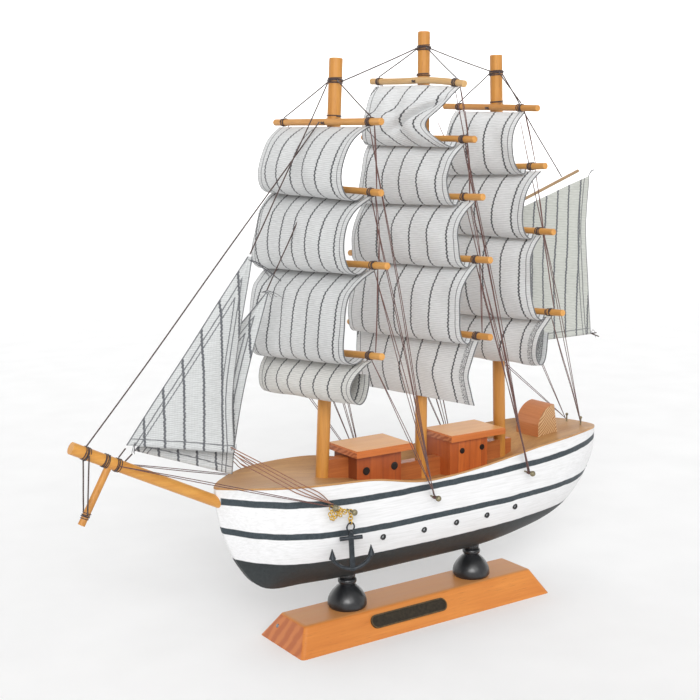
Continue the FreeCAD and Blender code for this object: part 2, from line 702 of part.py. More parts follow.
def side_rigging(side):
    made = []
    for names in mast_yards.values():
        for upper, lower in zip(names, names[1:]):
            made.append(yard_to_yard(upper, lower, side))
    made += fan(mast_yards["foremast"], SIDE_PINS[1], side, [0, 1, 2, 3])
    made += fan(mast_yards["mainmast"][:4], SIDE_PINS[2], side, [0, 1, 2, 3])
    made += stern_fan(mast_yards["mizzenmast"], side)
    x, z = SIDE_PINS[0]
    y = hull_side_y(hull_raw, x, z)
    for i in range(4):
        target = V(x, side * (y + DRUM_START + SLOT * (i + 0.5)), z)
        knee_x = -91.0 + 1.2 * i
        knee_z = lerp_table(knee_x, 3) + DECK_THICKNESS + 0.45
        knee = V(knee_x, side * (hull_side_y(ship_block, knee_x, knee_z - 1.0) + 0.9), knee_z)
        rub_x = knee_x + 8.0
        rub_z = knee_z - 8.0 * (knee_z - z) / (x - knee_x)
        rub = V(rub_x, side * (hull_side_y(ship_block, rub_x, rub_z) + 1.0), rub_z)
        way = (rub - target).normalize()
        made.append(line((-110.6 + 0.6 * i, side * 4.4, 107.4 - 1.3 * i), knee))
        made.append(line(knee, rub))
        made.append(line(rub, target + way * (DRUM_RADIUS + THREAD)))
    head = V(-170.6, side * (BOWSPRIT_RADIUS + 0.7), 109.4)
    target = V(x, side * (y + DRUM_START + 4.4 * SLOT), z)
    way = (head - target).normalize()
    made.append(line(head, target + way * (PIN_RADIUS + THREAD)))
    drums = [pin_drum(px, pz) for px, pz in SIDE_PINS]
    made += drums if side > 0 else [mirrored(d) for d in drums]
    return made


def band_point(mast, forward):
    """Point on a mast's thread band, ahead of the mast (1) or behind it (-1)."""
    z = BAND_Z[mast]
    return V(mast_x(mast, z) - forward * (MASTS[mast][4] + 0.8), 0, z)


def centre_rigging():
    made = []
    made.append(line(band_point("foremast", -1), band_point("mainmast", 1)))
    made.append(line(band_point("mainmast", -1), band_point("mizzenmast", 1) + V(0, 0, 0.8)))
    made.append(line(band_point("mizzenmast", -1), (105.6, 0, 237.1)))
    for mast, names in mast_yards.items():
        for side in (-1, 1):
            start = band_point(mast, 0.3) + V(0, side * (MASTS[mast][4] + 0.45), 0)
            end = yard_point(names[0], side * (YARDS[names[0]][4] + 0.9)) + V(0, 0, WRAP_RADIUS + 0.3)
            made.append(line(start, end))
    top = yard_point("fore_yard_1", 0) + V(-YARD_RADIUS - 1.7, 0, 0)
    made.append(line(top, (-184.4, 0, 119.9)))
    made.append(line(band_point("foremast", 1) + V(0, -0.6, 0), (-100.4, OUTER_JIB_Y, 202.8)))
    second = yard_point("fore_yard_2", 0)
    made.append(line((second.x - 11.4, 1.0, second.z - 10.6), (-87.4, INNER_JIB_Y, 184.0)))
    made.append(line((-167.0, OUTER_JIB_Y, 117.2), (-170.6, OUTER_JIB_Y, 113.4)))
    made.append(line((-160.8, INNER_JIB_Y, 112.4), (-166.2, INNER_JIB_Y, 107.9)))
    for side in (-1, 1):
        made.append(line((-184.7, side * 3.6, 116.2), (-186.1, side * 2.4, 88.6)))
        made.append(line((133.2, side * 0.4, 144.4), (138.4, side * 1.1, 143.4 + side)))
    return made


def trimmed(shapes, others):
    """Shapes with anything that another piece already fills taken away."""
    kept = []
    for shape in shapes:
        near = [o for o in others + kept if o.BoundBox.intersect(shape.BoundBox)]
        cut = shape.cut(near) if near else shape
        kept += [s for s in cut.Solids if s.Volume > 0.02]
    return kept


port_lines = side_rigging(-1)
starboard_lines = side_rigging(1)
centre_lines = centre_rigging()

# ---- seat every piece in its neighbours ---------------------------------
screws = [stand_screw(-PEDESTAL_X), stand_screw(PEDESTAL_X)]
sunk = list(masts.values()) + screws + pins + ports
hull = largest(hull_raw.cut(sunk))
deck = largest(deck_raw.cut(list(masts.values()) + pins))
base = base_block().cut(screws)
pedestals = [pedestal(x).cut([hull_raw] + screws) for x in (-PEDESTAL_X, PEDESTAL_X)]
fore_house = fore_house.cut(house_ports)
aft_house = aft_house.cut(house_ports)
cloths = list(sails.values()) + [outer_jib, inner_jib, spanker]
spars = list(masts.values()) + list(yards.values()) + [bowsprit, striker, gaff]
lashings = trimmed(lashings, cloths + spars)
solid_parts = spars + cloths + lashings + pins + both_sides(loops) + [ship_block, fore_roof, aft_roof]
port_lines = trimmed(port_lines, solid_parts)
starboard_lines = trimmed(starboard_lines, solid_parts + port_lines)
centre_lines = trimmed(centre_lines, solid_parts + port_lines + starboard_lines)

nodes = {
    "base_block": base,
    "name_plate": name_plate(),
    "pedestal_fore": largest(pedestals[0]),
    "pedestal_aft": largest(pedestals[1]),
    "stand_screws": group(screws),
    "hull": hull,
    "deck": deck,
    "fore_cabin_house": fore_house,
    "fore_cabin_roof": fore_roof,
    "aft_cabin_house": aft_house,
    "aft_cabin_roof": aft_roof,
    "cabin_portholes": group(house_ports),
    "hull_portholes": group(ports),
    "stern_block": stern_block(),
    "deck_strips": group(strips),
    "bowsprit": bowsprit,
    "dolphin_striker": striker,
    "gaff": gaff,
    "outer_jib": outer_jib,
    "inner_jib": inner_jib,
    "spanker": spanker,
    "rigging_pins": group(pins),
    "chain_loops": group(both_sides(loops)),
    "port_chain": group([mirrored(s) for s in starboard_chain]),
    "port_anchor": mirrored(starboard_anchor),
    "starboard_chain": group(starboard_chain),
    "starboard_anchor": starboard_anchor,
    "lashings": group(lashings),
    "stays": group(centre_lines),
    "port_rigging": group(port_lines),
    "starboard_rigging": group(starboard_lines),
}
nodes.update(masts)
nodes.update(yards)
nodes.update(sails)

os.makedirs("parts", exist_ok=True)
for name, shape in nodes.items():
    shape.exportStep("parts/%s.step" % name)
    print(name, len(shape.Solids), round(shape.Volume, 1), shape.isValid())
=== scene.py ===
import math
import random

import bmesh
import bpy
import numpy as np
from mathutils import Matrix, Vector


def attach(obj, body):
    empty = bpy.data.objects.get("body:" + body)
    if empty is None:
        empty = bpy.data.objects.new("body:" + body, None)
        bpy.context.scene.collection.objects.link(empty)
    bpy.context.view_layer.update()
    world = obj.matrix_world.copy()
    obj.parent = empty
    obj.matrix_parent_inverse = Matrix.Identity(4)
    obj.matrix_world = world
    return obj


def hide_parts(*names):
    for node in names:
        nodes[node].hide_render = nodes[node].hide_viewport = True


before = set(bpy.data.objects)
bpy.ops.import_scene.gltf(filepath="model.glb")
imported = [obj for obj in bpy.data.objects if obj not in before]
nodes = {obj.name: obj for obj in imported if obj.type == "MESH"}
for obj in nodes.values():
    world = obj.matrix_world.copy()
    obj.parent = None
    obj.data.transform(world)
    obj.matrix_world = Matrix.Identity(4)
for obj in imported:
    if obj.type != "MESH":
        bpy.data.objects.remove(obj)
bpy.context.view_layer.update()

MM = 0.001


# ---- shader graphs --------------------------------------------------------
class Graph:
    """A material's node tree with one Principled shader."""

    def __init__(self, name):
        self.material = bpy.data.materials.new(name)
        self.material.use_nodes = True
        self.tree = self.material.node_tree
        self.tree.nodes.clear()
        self.bsdf = self.node("ShaderNodeBsdfPrincipled")
        out = self.node("ShaderNodeOutputMaterial")
        self.tree.links.new(self.bsdf.outputs[0], out.inputs[0])

    def node(self, kind, **settings):
        made = self.tree.nodes.new(kind)
        for key, value in settings.items():
            setattr(made, key, value)
        return made

    def put(self, socket, value):
        if isinstance(value, bpy.types.NodeSocket):
            self.tree.links.new(value, socket)
        elif hasattr(socket.default_value, "__len__") and len(socket.default_value) == 4:
            socket.default_value = (*value[:3], 1.0)
        else:
            socket.default_value = value

    def set(self, name, value):
        self.put(self.bsdf.inputs[name], value)

    def math(self, operation, a, b=0.0, c=0.0):
        made = self.node("ShaderNodeMath", operation=operation)
        for socket, value in zip(made.inputs, (a, b, c)):
            self.put(socket, value)
        return made.outputs[0]

    def smooth(self, value, low, high):
        made = self.node("ShaderNodeMapRange", interpolation_type="SMOOTHSTEP")
        for key, entry in (("Value", value), ("From Min", low), ("From Max", high)):
            self.put(made.inputs[key], entry)
        return made.outputs[0]

    def mix(self, factor, a, b):
        made = self.node("ShaderNodeMix", data_type="RGBA")
        for index, value in ((0, factor), (6, a), (7, b)):
            self.put(made.inputs[index], value)
        return made.outputs[2]

    def millimetres(self):
        coords = self.node("ShaderNodeTexCoord").outputs["Object"]
        return self.stretch(coords, (1000.0, 1000.0, 1000.0))

    def stretch(self, vector, factors):
        made = self.node("ShaderNodeVectorMath", operation="MULTIPLY")
        self.put(made.inputs[0], vector)
        made.inputs[1].default_value = factors
        return made.outputs[0]

    def split(self, vector):
        made = self.node("ShaderNodeSeparateXYZ")
        self.put(made.inputs[0], vector)
        return made.outputs[0], made.outputs[1], made.outputs[2]

    def join(self, x, y, z):
        made = self.node("ShaderNodeCombineXYZ")
        for socket, value in zip(made.inputs, (x, y, z)):
            self.put(socket, value)
        return made.outputs[0]

    def noise(self, vector, scale, detail=2.0, roughness=0.5, warp=0.0):
        made = self.node("ShaderNodeTexNoise")
        for key, value in (("Vector", vector), ("Scale", scale), ("Detail", detail)):
            self.put(made.inputs[key], value)
        made.inputs["Roughness"].default_value = roughness
        made.inputs["Distortion"].default_value = warp
        return made.outputs[0]

    def ramp(self, factor, stops):
        made = self.node("ShaderNodeValToRGB")
        while len(made.color_ramp.elements) < len(stops):
            made.color_ramp.elements.new(0.5)
        for element, (position, colour) in zip(made.color_ramp.elements, stops):
            element.position = position
            element.color = (*colour, 1.0)
        self.put(made.inputs[0], factor)
        return made.outputs[0]

    def bump(self, height, depth, strength=1.0):
        made = self.node("ShaderNodeBump")
        made.inputs["Strength"].default_value = strength
        made.inputs["Distance"].default_value = depth * MM
        self.put(made.inputs["Height"], height)
        self.set("Normal", made.outputs[0])


def rgb(r, g, b):
    """Linear colour from 0-255 display values."""
    return tuple((c / 255.0 / 12.92) if c <= 10 else ((c / 255.0 + 0.055) / 1.055) ** 2.4 for c in (r, g, b))


# ---- materials ------------------------------------------------------------
# boards are counted from this far ahead of the middle, in mm
BOARD_START = 500.0


def wood(name, along, light, dark, streak, gloss=0.42, coat=0.25, board=0.0, grain=1.0):
    """Varnished wood whose grain runs along one axis: 0 x, 1 y, 2 z."""
    g = Graph(name)
    mm = g.millimetres()
    squeeze = [1.0, 1.0, 1.0]
    squeeze[along] = 0.05
    lengthwise = g.stretch(mm, tuple(squeeze))
    broad = g.noise(lengthwise, 0.13 * grain, 3.0, 0.55, 0.6)
    fine = g.noise(lengthwise, 0.9 * grain, 4.0, 0.65, 0.2)
    pores = g.noise(lengthwise, 3.2 * grain, 2.0, 0.6)
    blotch = g.noise(mm, 0.035, 2.0, 0.5)
    tone = g.math("ADD", g.math("MULTIPLY", broad, 0.55), g.math("MULTIPLY", fine, 0.45))
    between = tuple(0.5 * (a + b) for a, b in zip(light, dark))
    colour = g.ramp(tone, [(0.33, dark), (0.5, between), (0.66, light)])
    colour = g.mix(g.math("MULTIPLY", g.smooth(pores, 0.60, 0.78), 0.55), colour, streak)
    colour = g.mix(g.math("MULTIPLY", g.smooth(blotch, 0.45, 0.8), 0.35), colour, dark)
    height = g.math("SUBTRACT", fine, g.math("MULTIPLY", g.smooth(pores, 0.58, 0.74), 0.8))
    if board:
        across = g.split(mm)[0]
        place = g.math("DIVIDE", g.math("ADD", across, BOARD_START), board)
        cell = g.math("FLOOR", place)
        shade = g.noise(g.join(cell, 3.7, 1.3), 7.31, 0.0)
        colour = g.mix(g.math("MULTIPLY", g.smooth(shade, 0.35, 0.65), 0.5), colour, dark)
        edge = g.math("ABSOLUTE", g.math("SUBTRACT", g.math("FRACT", place), 0.5))
        seam = g.smooth(edge, 0.47, 0.5)
        colour = g.mix(g.math("MULTIPLY", seam, 0.6), colour, streak)
        height = g.math("SUBTRACT", height, seam)
    g.set("Base Color", colour)
    g.set("Roughness", g.math("ADD", gloss, g.math("MULTIPLY", fine, 0.18)))
    g.set("Coat Weight", coat)
    g.set("Coat Roughness", 0.28)
    g.bump(height, 0.05, 0.6)
    return g


def end_grain(g, base_socket, axis, stripe_mm, light, dark, lean):
    """Adds slanted year rings on the faces that look along one axis."""
    normal = g.node("ShaderNodeNewGeometry").outputs["True Normal"]
    facing = g.smooth(g.math("ABSOLUTE", g.split(normal)[axis]), 0.7, 0.8)
    mm = g.millimetres()
    x, y, z = g.split(mm)
    across = x if axis == 1 else y
    level = g.math("MULTIPLY", across, math.cos(lean))
    slanted = g.math("ADD", level, g.math("MULTIPLY", z, math.sin(lean)))
    wobble = g.math("MULTIPLY", g.noise(mm, 0.12, 2.0), 5.0)
    phase = g.math("DIVIDE", g.math("ADD", slanted, wobble), stripe_mm)
    rings = g.math("ABSOLUTE", g.math("SUBTRACT", g.math("FRACT", phase), 0.5))
    colour = g.mix(g.smooth(rings, 0.12, 0.42), dark, light)
    g.set("Base Color", g.mix(facing, base_socket, colour))


def paint_top_face_light(g, top_light_tint):
    """Blends a tint over the faces that look straight up, in uneven patches: painted light and shade, as the
    top faces catch the light differently from the sides.
    """
    normal = g.node("ShaderNodeNewGeometry").outputs["True Normal"]
    facing = g.smooth(g.split(normal)[2], 0.75, 0.95)
    patch = g.noise(g.stretch(g.millimetres(), (0.06, 0.5, 1.0)), 0.5, 3.0, 0.6)
    amount = g.math("MULTIPLY", facing, g.math("ADD", 0.45, g.math("MULTIPLY", patch, 0.5)))
    g.set("Base Color", g.mix(amount, base_colour_of(g), top_light_tint))


def base_colour_of(g):
    return g.bsdf.inputs["Base Color"].links[0].from_socket


SPAR_LIGHT, SPAR_DARK, SPAR_STREAK = rgb(206, 146, 66), rgb(176, 114, 42), rgb(128, 76, 26)
spar_z = wood("spar_wood_upright", 2, SPAR_LIGHT, SPAR_DARK, SPAR_STREAK).material
spar_y = wood("spar_wood_crosswise", 1, rgb(216, 160, 84), rgb(188, 126, 54), SPAR_STREAK).material
spar_y_pale = wood("spar_wood_pale", 1, rgb(216, 180, 126), rgb(192, 148, 90), rgb(150, 106, 60)).material
spar_x = wood("spar_wood_lengthwise", 0, rgb(216, 158, 72), rgb(190, 124, 44), SPAR_STREAK).material
spar_x_dull = wood("spar_wood_dull", 0, rgb(168, 140, 104), rgb(132, 104, 72), rgb(92, 70, 46)).material
deck_wood = wood("deck_wood", 0, rgb(196, 150, 94), rgb(164, 116, 66), rgb(118, 78, 42),
                 gloss=0.5, coat=0.12, grain=0.8).material
house_wood = wood("cabin_wood", 2, rgb(206, 112, 48), rgb(152, 68, 26), rgb(84, 38, 18),
                  board=8.3, grain=0.7).material
# the strips' wood is darker than the other timber: partly its own deeper tone, partly painted shade, as the
# strips sit in shade between the cabins and masts
strip_wood_partly_painted_shade = wood("strip_wood_partly_painted_shade", 0, rgb(188, 112, 56), rgb(154, 82, 38), rgb(106, 54, 26)).material

base_graph = wood("base_wood", 0, rgb(214, 136, 56), rgb(192, 110, 36), rgb(132, 70, 26), coat=0.2, grain=0.7)
end_grain(base_graph, base_colour_of(base_graph), 0, 7.0, rgb(196, 116, 58), rgb(176, 94, 44), 0.35)
# a duller tint on the stand's top faces: painted shade
paint_top_face_light(base_graph, rgb(200, 142, 88))
roof_graph = wood("roof_wood", 0, rgb(208, 120, 50), rgb(184, 94, 34), rgb(124, 58, 22), grain=0.8)
end_grain(roof_graph, base_colour_of(roof_graph), 0, 2.2, rgb(196, 122, 76), rgb(166, 90, 48), 1.1)
# a lighter tint on the roof tops: painted light
paint_top_face_light(roof_graph, rgb(234, 178, 106))
block_graph = wood("block_wood", 1, rgb(204, 134, 80), rgb(182, 106, 56), rgb(134, 74, 38))
end_grain(block_graph, base_colour_of(block_graph), 1, 1.35, rgb(206, 174, 130), rgb(156, 104, 60), -0.75)


def parabola(g, x, start, height, fore, aft):
    """Height of a painted line: it rises from one x toward both ends."""
    run = g.math("SUBTRACT", x, start)
    rate = g.math("ADD", aft, g.math("MULTIPLY", g.math("LESS_THAN", run, 0.0), fore - aft))
    return g.math("ADD", height, g.math("MULTIPLY", rate, g.math("MULTIPLY", run, run)))


# the two slate lines: where each is lowest, its height there, and how fast it rises fore and aft
HULL_LINES = ((-35.0, 80.1, 0.00057, 0.00024), (-38.0, 63.4, 0.00078, 0.0001))
BOTTOM_LINE = (-38.0, 47.8, 0.0009, 0.00013)
LINE_HALF_WIDTH = 1.5
STEM_X = -118.8


def hull_paint():
    """White paint with two slate lines and a slate bottom, brushed on by hand."""
    g = Graph("hull_paint")
    mm = g.millimetres()
    x, _, z = g.split(mm)
    wobble = g.math("MULTIPLY", g.math("SUBTRACT", g.noise(mm, 0.09, 3.0), 0.5), 1.1)
    level = g.math("ADD", z, wobble)
    keep = g.smooth(x, STEM_X, STEM_X + 0.6)
    paint = None
    for shape in HULL_LINES:
        gap = g.math("ABSOLUTE", g.math("SUBTRACT", level, parabola(g, x, *shape)))
        inside = g.math("SUBTRACT", 1.0, g.smooth(gap, LINE_HALF_WIDTH, LINE_HALF_WIDTH + 0.35))
        band = g.math("MULTIPLY", inside, keep)
        paint = band if paint is None else g.math("MAXIMUM", paint, band)
    above_bottom = g.math("SUBTRACT", level, parabola(g, x, *BOTTOM_LINE))
    below = g.math("SUBTRACT", 1.0, g.smooth(above_bottom, -0.2, 0.2))
    strokes = g.noise(g.stretch(mm, (0.05, 0.6, 1.0)), 1.1, 4.0, 0.7)
    speckle = g.noise(mm, 0.6, 4.0, 0.7)
    grime = g.smooth(g.noise(mm, 0.045, 4.0, 0.6), 0.52, 0.75)
    white = g.ramp(strokes, [(0.3, rgb(214, 214, 214)), (0.6, rgb(228, 228, 229))])
    white = g.mix(g.math("MULTIPLY", grime, 0.10), white, rgb(186, 183, 178))
    slate = g.ramp(speckle, [(0.35, rgb(38, 48, 54)), (0.7, rgb(58, 69, 75))])
    bottom = g.ramp(speckle, [(0.32, rgb(24, 30, 32)), (0.72, rgb(40, 47, 49))])
    near_keel = g.math("SUBTRACT", 1.0, g.smooth(z, 34.0, 38.0))
    rubbed = g.math("MULTIPLY", g.smooth(speckle, 0.70, 0.76), near_keel)
    bottom = g.mix(g.math("MULTIPLY", rubbed, 0.4), bottom, rgb(120, 117, 106))
    colour = g.mix(below, g.mix(paint, white, slate), bottom)
    g.set("Base Color", colour)
    dark = g.math("MAXIMUM", paint, below)
    g.set("Roughness", g.math("ADD", 0.46, g.math("MULTIPLY", dark, 0.14)))
    g.set("Coat Weight", 0.04)
    height = g.math("ADD", g.math("MULTIPLY", strokes, 0.5), g.math("MULTIPLY", dark, 0.8))
    g.bump(height, 0.05, 0.5)
    return g.material


def plain(name, low, high, scale, roughness, metallic=0.0, coat=0.0, depth=0.03):
    """Surface with a mottled colour, uneven sheen and a fine relief."""
    g = Graph(name)
    mm = g.millimetres()
    mottle = g.noise(mm, scale, 4.0, 0.6)
    g.set("Base Color", g.ramp(mottle, [(0.32, low), (0.68, high)]))
    g.set("Roughness", g.math("ADD", roughness - 0.06, g.math("MULTIPLY", mottle, 0.14)))
    g.set("Metallic", metallic)
    g.set("Coat Weight", coat)
    g.set("Coat Roughness", 0.2)
    g.bump(g.noise(mm, scale * 2.5, 3.0, 0.6), depth, 0.6)
    return g.material


# the cloth's measures, in mm: one weft tooth of a stripe, the threads' spacings and a stripe's half width
TOOTH = 1.9
WEFT_SPACING = 0.95
WARP_SPACING = 0.8
STRIPE_HALF_WIDTH = 0.46


def drawn_line(g, distance, half_width, blur):
    """1 on a line and 0 away from it, from the distance to its middle."""
    return g.math("SUBTRACT", 1.0, g.smooth(distance, half_width, half_width + blur))


def cloth(name, period, phase, low=rgb(184, 185, 185), high=rgb(212, 213, 213), band=False, double=False):
    """Woven cotton: slubby weft, jagged dark warp stripes, stitched hems."""
    g = Graph(name)
    weave = g.node("ShaderNodeUVMap", uv_map="weave").outputs[0]
    edge = g.node("ShaderNodeUVMap", uv_map="edge").outputs[0]
    weave = g.stretch(weave, (100.0, 100.0, 1.0))
    edge = g.stretch(edge, (100.0, 100.0, 1.0))
    u, v = g.split(weave)[:2]
    side, end = g.split(edge)[:2]
    drift = g.math("SUBTRACT", g.noise(g.stretch(weave, (0.2, 1.0, 1.0)), 0.22, 2.0), 0.5)
    step = g.math("FRACT", g.math("DIVIDE", v, TOOTH))
    tooth = g.math("SUBTRACT", g.math("ABSOLUTE", g.math("SUBTRACT", step, 0.5)), 0.25)
    jag = g.math("MULTIPLY", tooth, 0.75 if double else 1.3)
    shifted = g.math("ADD", g.math("ADD", u, jag), drift)
    beside = g.math("WRAP", g.math("SUBTRACT", shifted, phase), period / 2, -period / 2)
    stripe = drawn_line(g, g.math("ABSOLUTE", beside), STRIPE_HALF_WIDTH, 0.32)
    sway = g.math("MULTIPLY", drift, 0.6)
    hem = g.math("ABSOLUTE", g.math("SUBTRACT", g.math("ADD", side, sway), 3.6))
    stitch = drawn_line(g, hem, 0.18, 0.24)
    if double:
        foot = g.math("ADD", end, sway)
        for place, distance in ((side, 5.6), (foot, 3.6)):
            jagged = g.math("ADD", place, g.math("MULTIPLY", jag, 0.5))
            gap = g.math("ABSOLUTE", g.math("SUBTRACT", jagged, distance))
            stitch = g.math("MAXIMUM", stitch, drawn_line(g, gap, 0.16, 0.24))
    rim = g.math("MULTIPLY", drawn_line(g, side, 0.3, 0.35), 0.85)
    dark = g.math("MAXIMUM", g.math("MULTIPLY", stripe, 0.95), g.math("MULTIPLY", stitch, 0.82))
    dark = g.math("MAXIMUM", dark, rim)
    if band:
        inside = g.math("MULTIPLY", g.smooth(u, 3.2, 3.6), drawn_line(g, u, 7.2, 0.4))
        dots = g.smooth(g.noise(weave, 1.5, 2.0, 0.6), 0.42, 0.56)
        dark = g.math("MAXIMUM", dark, g.math("MULTIPLY", g.math("MULTIPLY", inside, dots), 0.75))
    along_weft = g.math("ADD", v, g.math("MULTIPLY", drift, 0.5))
    weft = g.math("SINE", g.math("MULTIPLY", along_weft, 2 * math.pi / WEFT_SPACING))
    warp = g.math("SINE", g.math("MULTIPLY", u, 2 * math.pi / WARP_SPACING))
    slub = g.noise(g.stretch(weave, (0.12, 1.0, 1.0)), 1.6, 3.0, 0.7)
    thread = g.math("ADD", g.math("MULTIPLY", weft, 0.15), g.math("MULTIPLY", warp, 0.09))
    ground = g.ramp(g.math("ADD", slub, thread), [(0.28, low), (0.72, high)])
    fade = 34 if double else 0
    deep, faint = (rgb(*(c + fade for c in shade)) for shade in ((34, 36, 40), (70, 72, 77)))
    ink = g.ramp(g.noise(weave, 1.3, 2.0), [(0.3, deep), (0.75, faint)])
    g.set("Base Color", g.mix(dark, ground, ink))
    g.set("Roughness", 0.92)
    g.set("Sheen Weight", 0.25)
    g.set("Sheen Roughness", 0.5)
    height = g.math("ADD", g.math("ADD", g.math("MULTIPLY", weft, 0.5), g.math("MULTIPLY", warp, 0.3)), slub)
    g.bump(g.math("ADD", height, g.math("MULTIPLY", dark, 0.7)), 0.12, 0.55)
    return g.material


# middle of the plate's back and its outward direction, in the plane across the ship
PLATE_Y, PLATE_Z = -15.78, 7.77
PLATE_OUT_Y, PLATE_OUT_Z = -0.83, 0.558


def plate_metal():
    """Blank bronze plate: a dark sunk field inside a lighter rim."""
    g = Graph("plate_bronze")
    mm = g.millimetres()
    _, y, z = g.split(mm)
    up = g.math("MULTIPLY", g.math("SUBTRACT", z, PLATE_Z), PLATE_OUT_Z)
    out = g.math("MULTIPLY", g.math("SUBTRACT", y, PLATE_Y), PLATE_OUT_Y)
    lift = g.math("ADD", up, out)
    rim = g.smooth(lift, 0.66, 0.84)
    mottle = g.noise(mm, 0.6, 4.0, 0.6)
    field = g.ramp(mottle, [(0.32, rgb(38, 33, 26)), (0.68, rgb(62, 54, 41))])
    bright = g.ramp(mottle, [(0.3, rgb(72, 58, 38)), (0.7, rgb(108, 90, 62))])
    g.set("Base Color", g.mix(rim, field, bright))
    g.set("Metallic", 0.5)
    g.set("Roughness", g.math("SUBTRACT", 0.62, g.math("MULTIPLY", rim, 0.14)))
    g.bump(mottle, 0.1, 0.7)
    return g.material


def thread_material(name, low, high):
    g = Graph(name)
    mm = g.millimetres()
    fuzz = g.noise(mm, 1.7, 4.0, 0.75)
    g.set("Base Color", g.ramp(fuzz, [(0.3, low), (0.72, high)]))
    g.set("Roughness", 0.85)
    g.set("Sheen Weight", 0.2)
    g.bump(fuzz, 0.15, 0.8)
    return g.material


hull_mat = hull_paint()
black_lacquer = plain("black_lacquer", rgb(20, 21, 23), rgb(34, 35, 38), 0.25, 0.34, coat=0.3, depth=0.05)
bronze = plate_metal()
steel = plain("screw_steel", rgb(120, 122, 126), rgb(170, 172, 176), 0.4, 0.35, metallic=0.9)
brass = plain("pin_brass", rgb(104, 98, 78), rgb(158, 148, 118), 0.6, 0.5, metallic=0.55)
gold = plain("chain_gold", rgb(196, 152, 52), rgb(236, 204, 110), 0.9, 0.28, metallic=0.9)
iron = plain("anchor_iron", rgb(28, 33, 38), rgb(50, 56, 62), 0.4, 0.45, metallic=0.35, coat=0.1, depth=0.06)
port_black = plain("port_black", rgb(14, 14, 15), rgb(30, 30, 32), 0.5, 0.3, coat=0.4)
port_grey = plain("port_grey", rgb(128, 130, 134), rgb(168, 170, 172), 0.5, 0.4)
maroon = thread_material("thread_maroon", rgb(66, 40, 38), rgb(122, 82, 76))
umber = thread_material("thread_umber", rgb(44, 34, 34), rgb(92, 72, 68))
russet = thread_material("thread_russet", rgb(112, 70, 50), rgb(168, 116, 90))
warp_thread = thread_material("thread_warp", rgb(58, 58, 62), rgb(108, 108, 112))


# ---- pieces ---------------------------------------------------------------
def add(name, data, material):
    """A smooth visual piece that moves with the ship."""
    obj = bpy.data.objects.new(name, data)
    bpy.context.scene.collection.objects.link(obj)
    data.materials.append(material)
    data.polygons.foreach_set("use_smooth", [True] * len(data.polygons))
    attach(obj, "ship")
    return obj


def mesh_of(verts, faces, name):
    data = bpy.data.meshes.new(name)
    data.from_pydata([tuple(float(c) for c in v) for v in verts], [], faces)
    data.update()
    return data


def gathered(parts):
    """Vertices and faces of several small meshes as one."""
    verts, faces = [], []
    for v, f in parts:
        faces += [tuple(i + len(verts) for i in face) for face in f]
        verts += v
    return verts, faces


def square_to(axis, seed=(0.2, 0.35, 0.91)):
    """An axis as a unit vector, and two unit vectors square to it."""
    axis = np.asarray(axis, float) / np.linalg.norm(axis)
    first = np.cross(axis, seed)
    first /= np.linalg.norm(first)
    return axis, first, np.cross(axis, first)


def dress(name, material):
    """Gives a CAD node its finished material."""
    data = nodes[name].data
    data.materials.clear()
    data.materials.append(material)


def coords(name):
    data = nodes[name].data
    out = np.empty(len(data.vertices) * 3)
    data.vertices.foreach_get("co", out)
    return out.reshape(-1, 3)


def ends(name, axis):
    """Centres of a spar's two end faces, lowest first along an axis."""
    co = coords(name)
    low, high = co[:, axis].min(), co[:, axis].max()
    first = co[co[:, axis] < low + 0.0012]
    last = co[co[:, axis] > high - 0.0012]
    return (first.min(0) + first.max(0)) / 2, (last.min(0) + last.max(0)) / 2


class Spar:
    """Axis of a straight or gently bent CAD spar."""

    def __init__(self, name, axis):
        self.name, self.axis = name, axis
        self.a, self.b = ends(name, axis)
        self.co = coords(name)

    def at(self, value):
        """Point of the axis where its coordinate is value."""
        near = self.co[np.abs(self.co[:, self.axis] - value) < 0.0015]
        t = (value - self.a[self.axis]) / (self.b[self.axis] - self.a[self.axis])
        point = self.a * (1 - t) + self.b * t
        if self.name == "main_yard_1" and len(near) >= 8:
            point = (near.min(0) + near.max(0)) / 2
            point[self.axis] = value
        return point


MASTS = {m: Spar(m, 2) for m in ("foremast", "mainmast", "mizzenmast")}
YARDS = {n: Spar(n, 1) for n in nodes if "_yard_" in n}
WRAPS = {
    "fore_yard": (38.0, 41.0, 45.5, 45.7),
    "main_yard": (31.8, 38.4, 40.1, 49.0, 51.1),
    "mizzen_yard": (24.5, 32.5, 38.2, 46.3),
}


def wrap_of(yard):
    family, number = yard.rsplit("_", 1)
    return WRAPS[family][int(number) - 1] * MM


def resample(points, count):
    """Points at even spacing along a smooth curve through the given ones."""
    p = np.asarray(points, float)
    q = np.vstack([2 * p[0] - p[1], p, 2 * p[-1] - p[-2]])
    dense = []
    for i in range(1, len(q) - 2):
        t = np.linspace(0, 1, 24, endpoint=False)[:, None]
        a, b, c, d = q[i - 1], q[i], q[i + 1], q[i + 2]
        bend = (2 * a - 5 * b + 4 * c - d) * t ** 2 + (3 * b - a - 3 * c + d) * t ** 3
        dense.append(0.5 * (2 * b + (c - a) * t + bend))
    dense = np.vstack(dense + [q[-2][None]])
    run = np.concatenate([[0], np.cumsum(np.linalg.norm(np.diff(dense, axis=0), axis=1))])
    wanted = np.linspace(0, run[-1], count)
    return np.stack([np.interp(wanted, run, dense[:, k]) for k in range(dense.shape[1])], axis=1)


def wavy(shape, seed, scale_u, scale_v):
    """Smooth noise field made of a few seeded waves."""
    r = random.Random(seed)
    waves = 7
    rows, cols = shape
    v, u = np.mgrid[0:1:rows * 1j, 0:1:cols * 1j]
    total = np.zeros(shape)
    for _ in range(waves):
        fu, fv = r.uniform(0.3, 1.0) * scale_u, r.uniform(0.3, 1.0) * scale_v
        total += math.sqrt(1 / waves) * np.sin(2 * math.pi * (fu * u + fv * v) + r.uniform(0, 6.28))
    return total


CLOTH_THICKNESS = 0.45


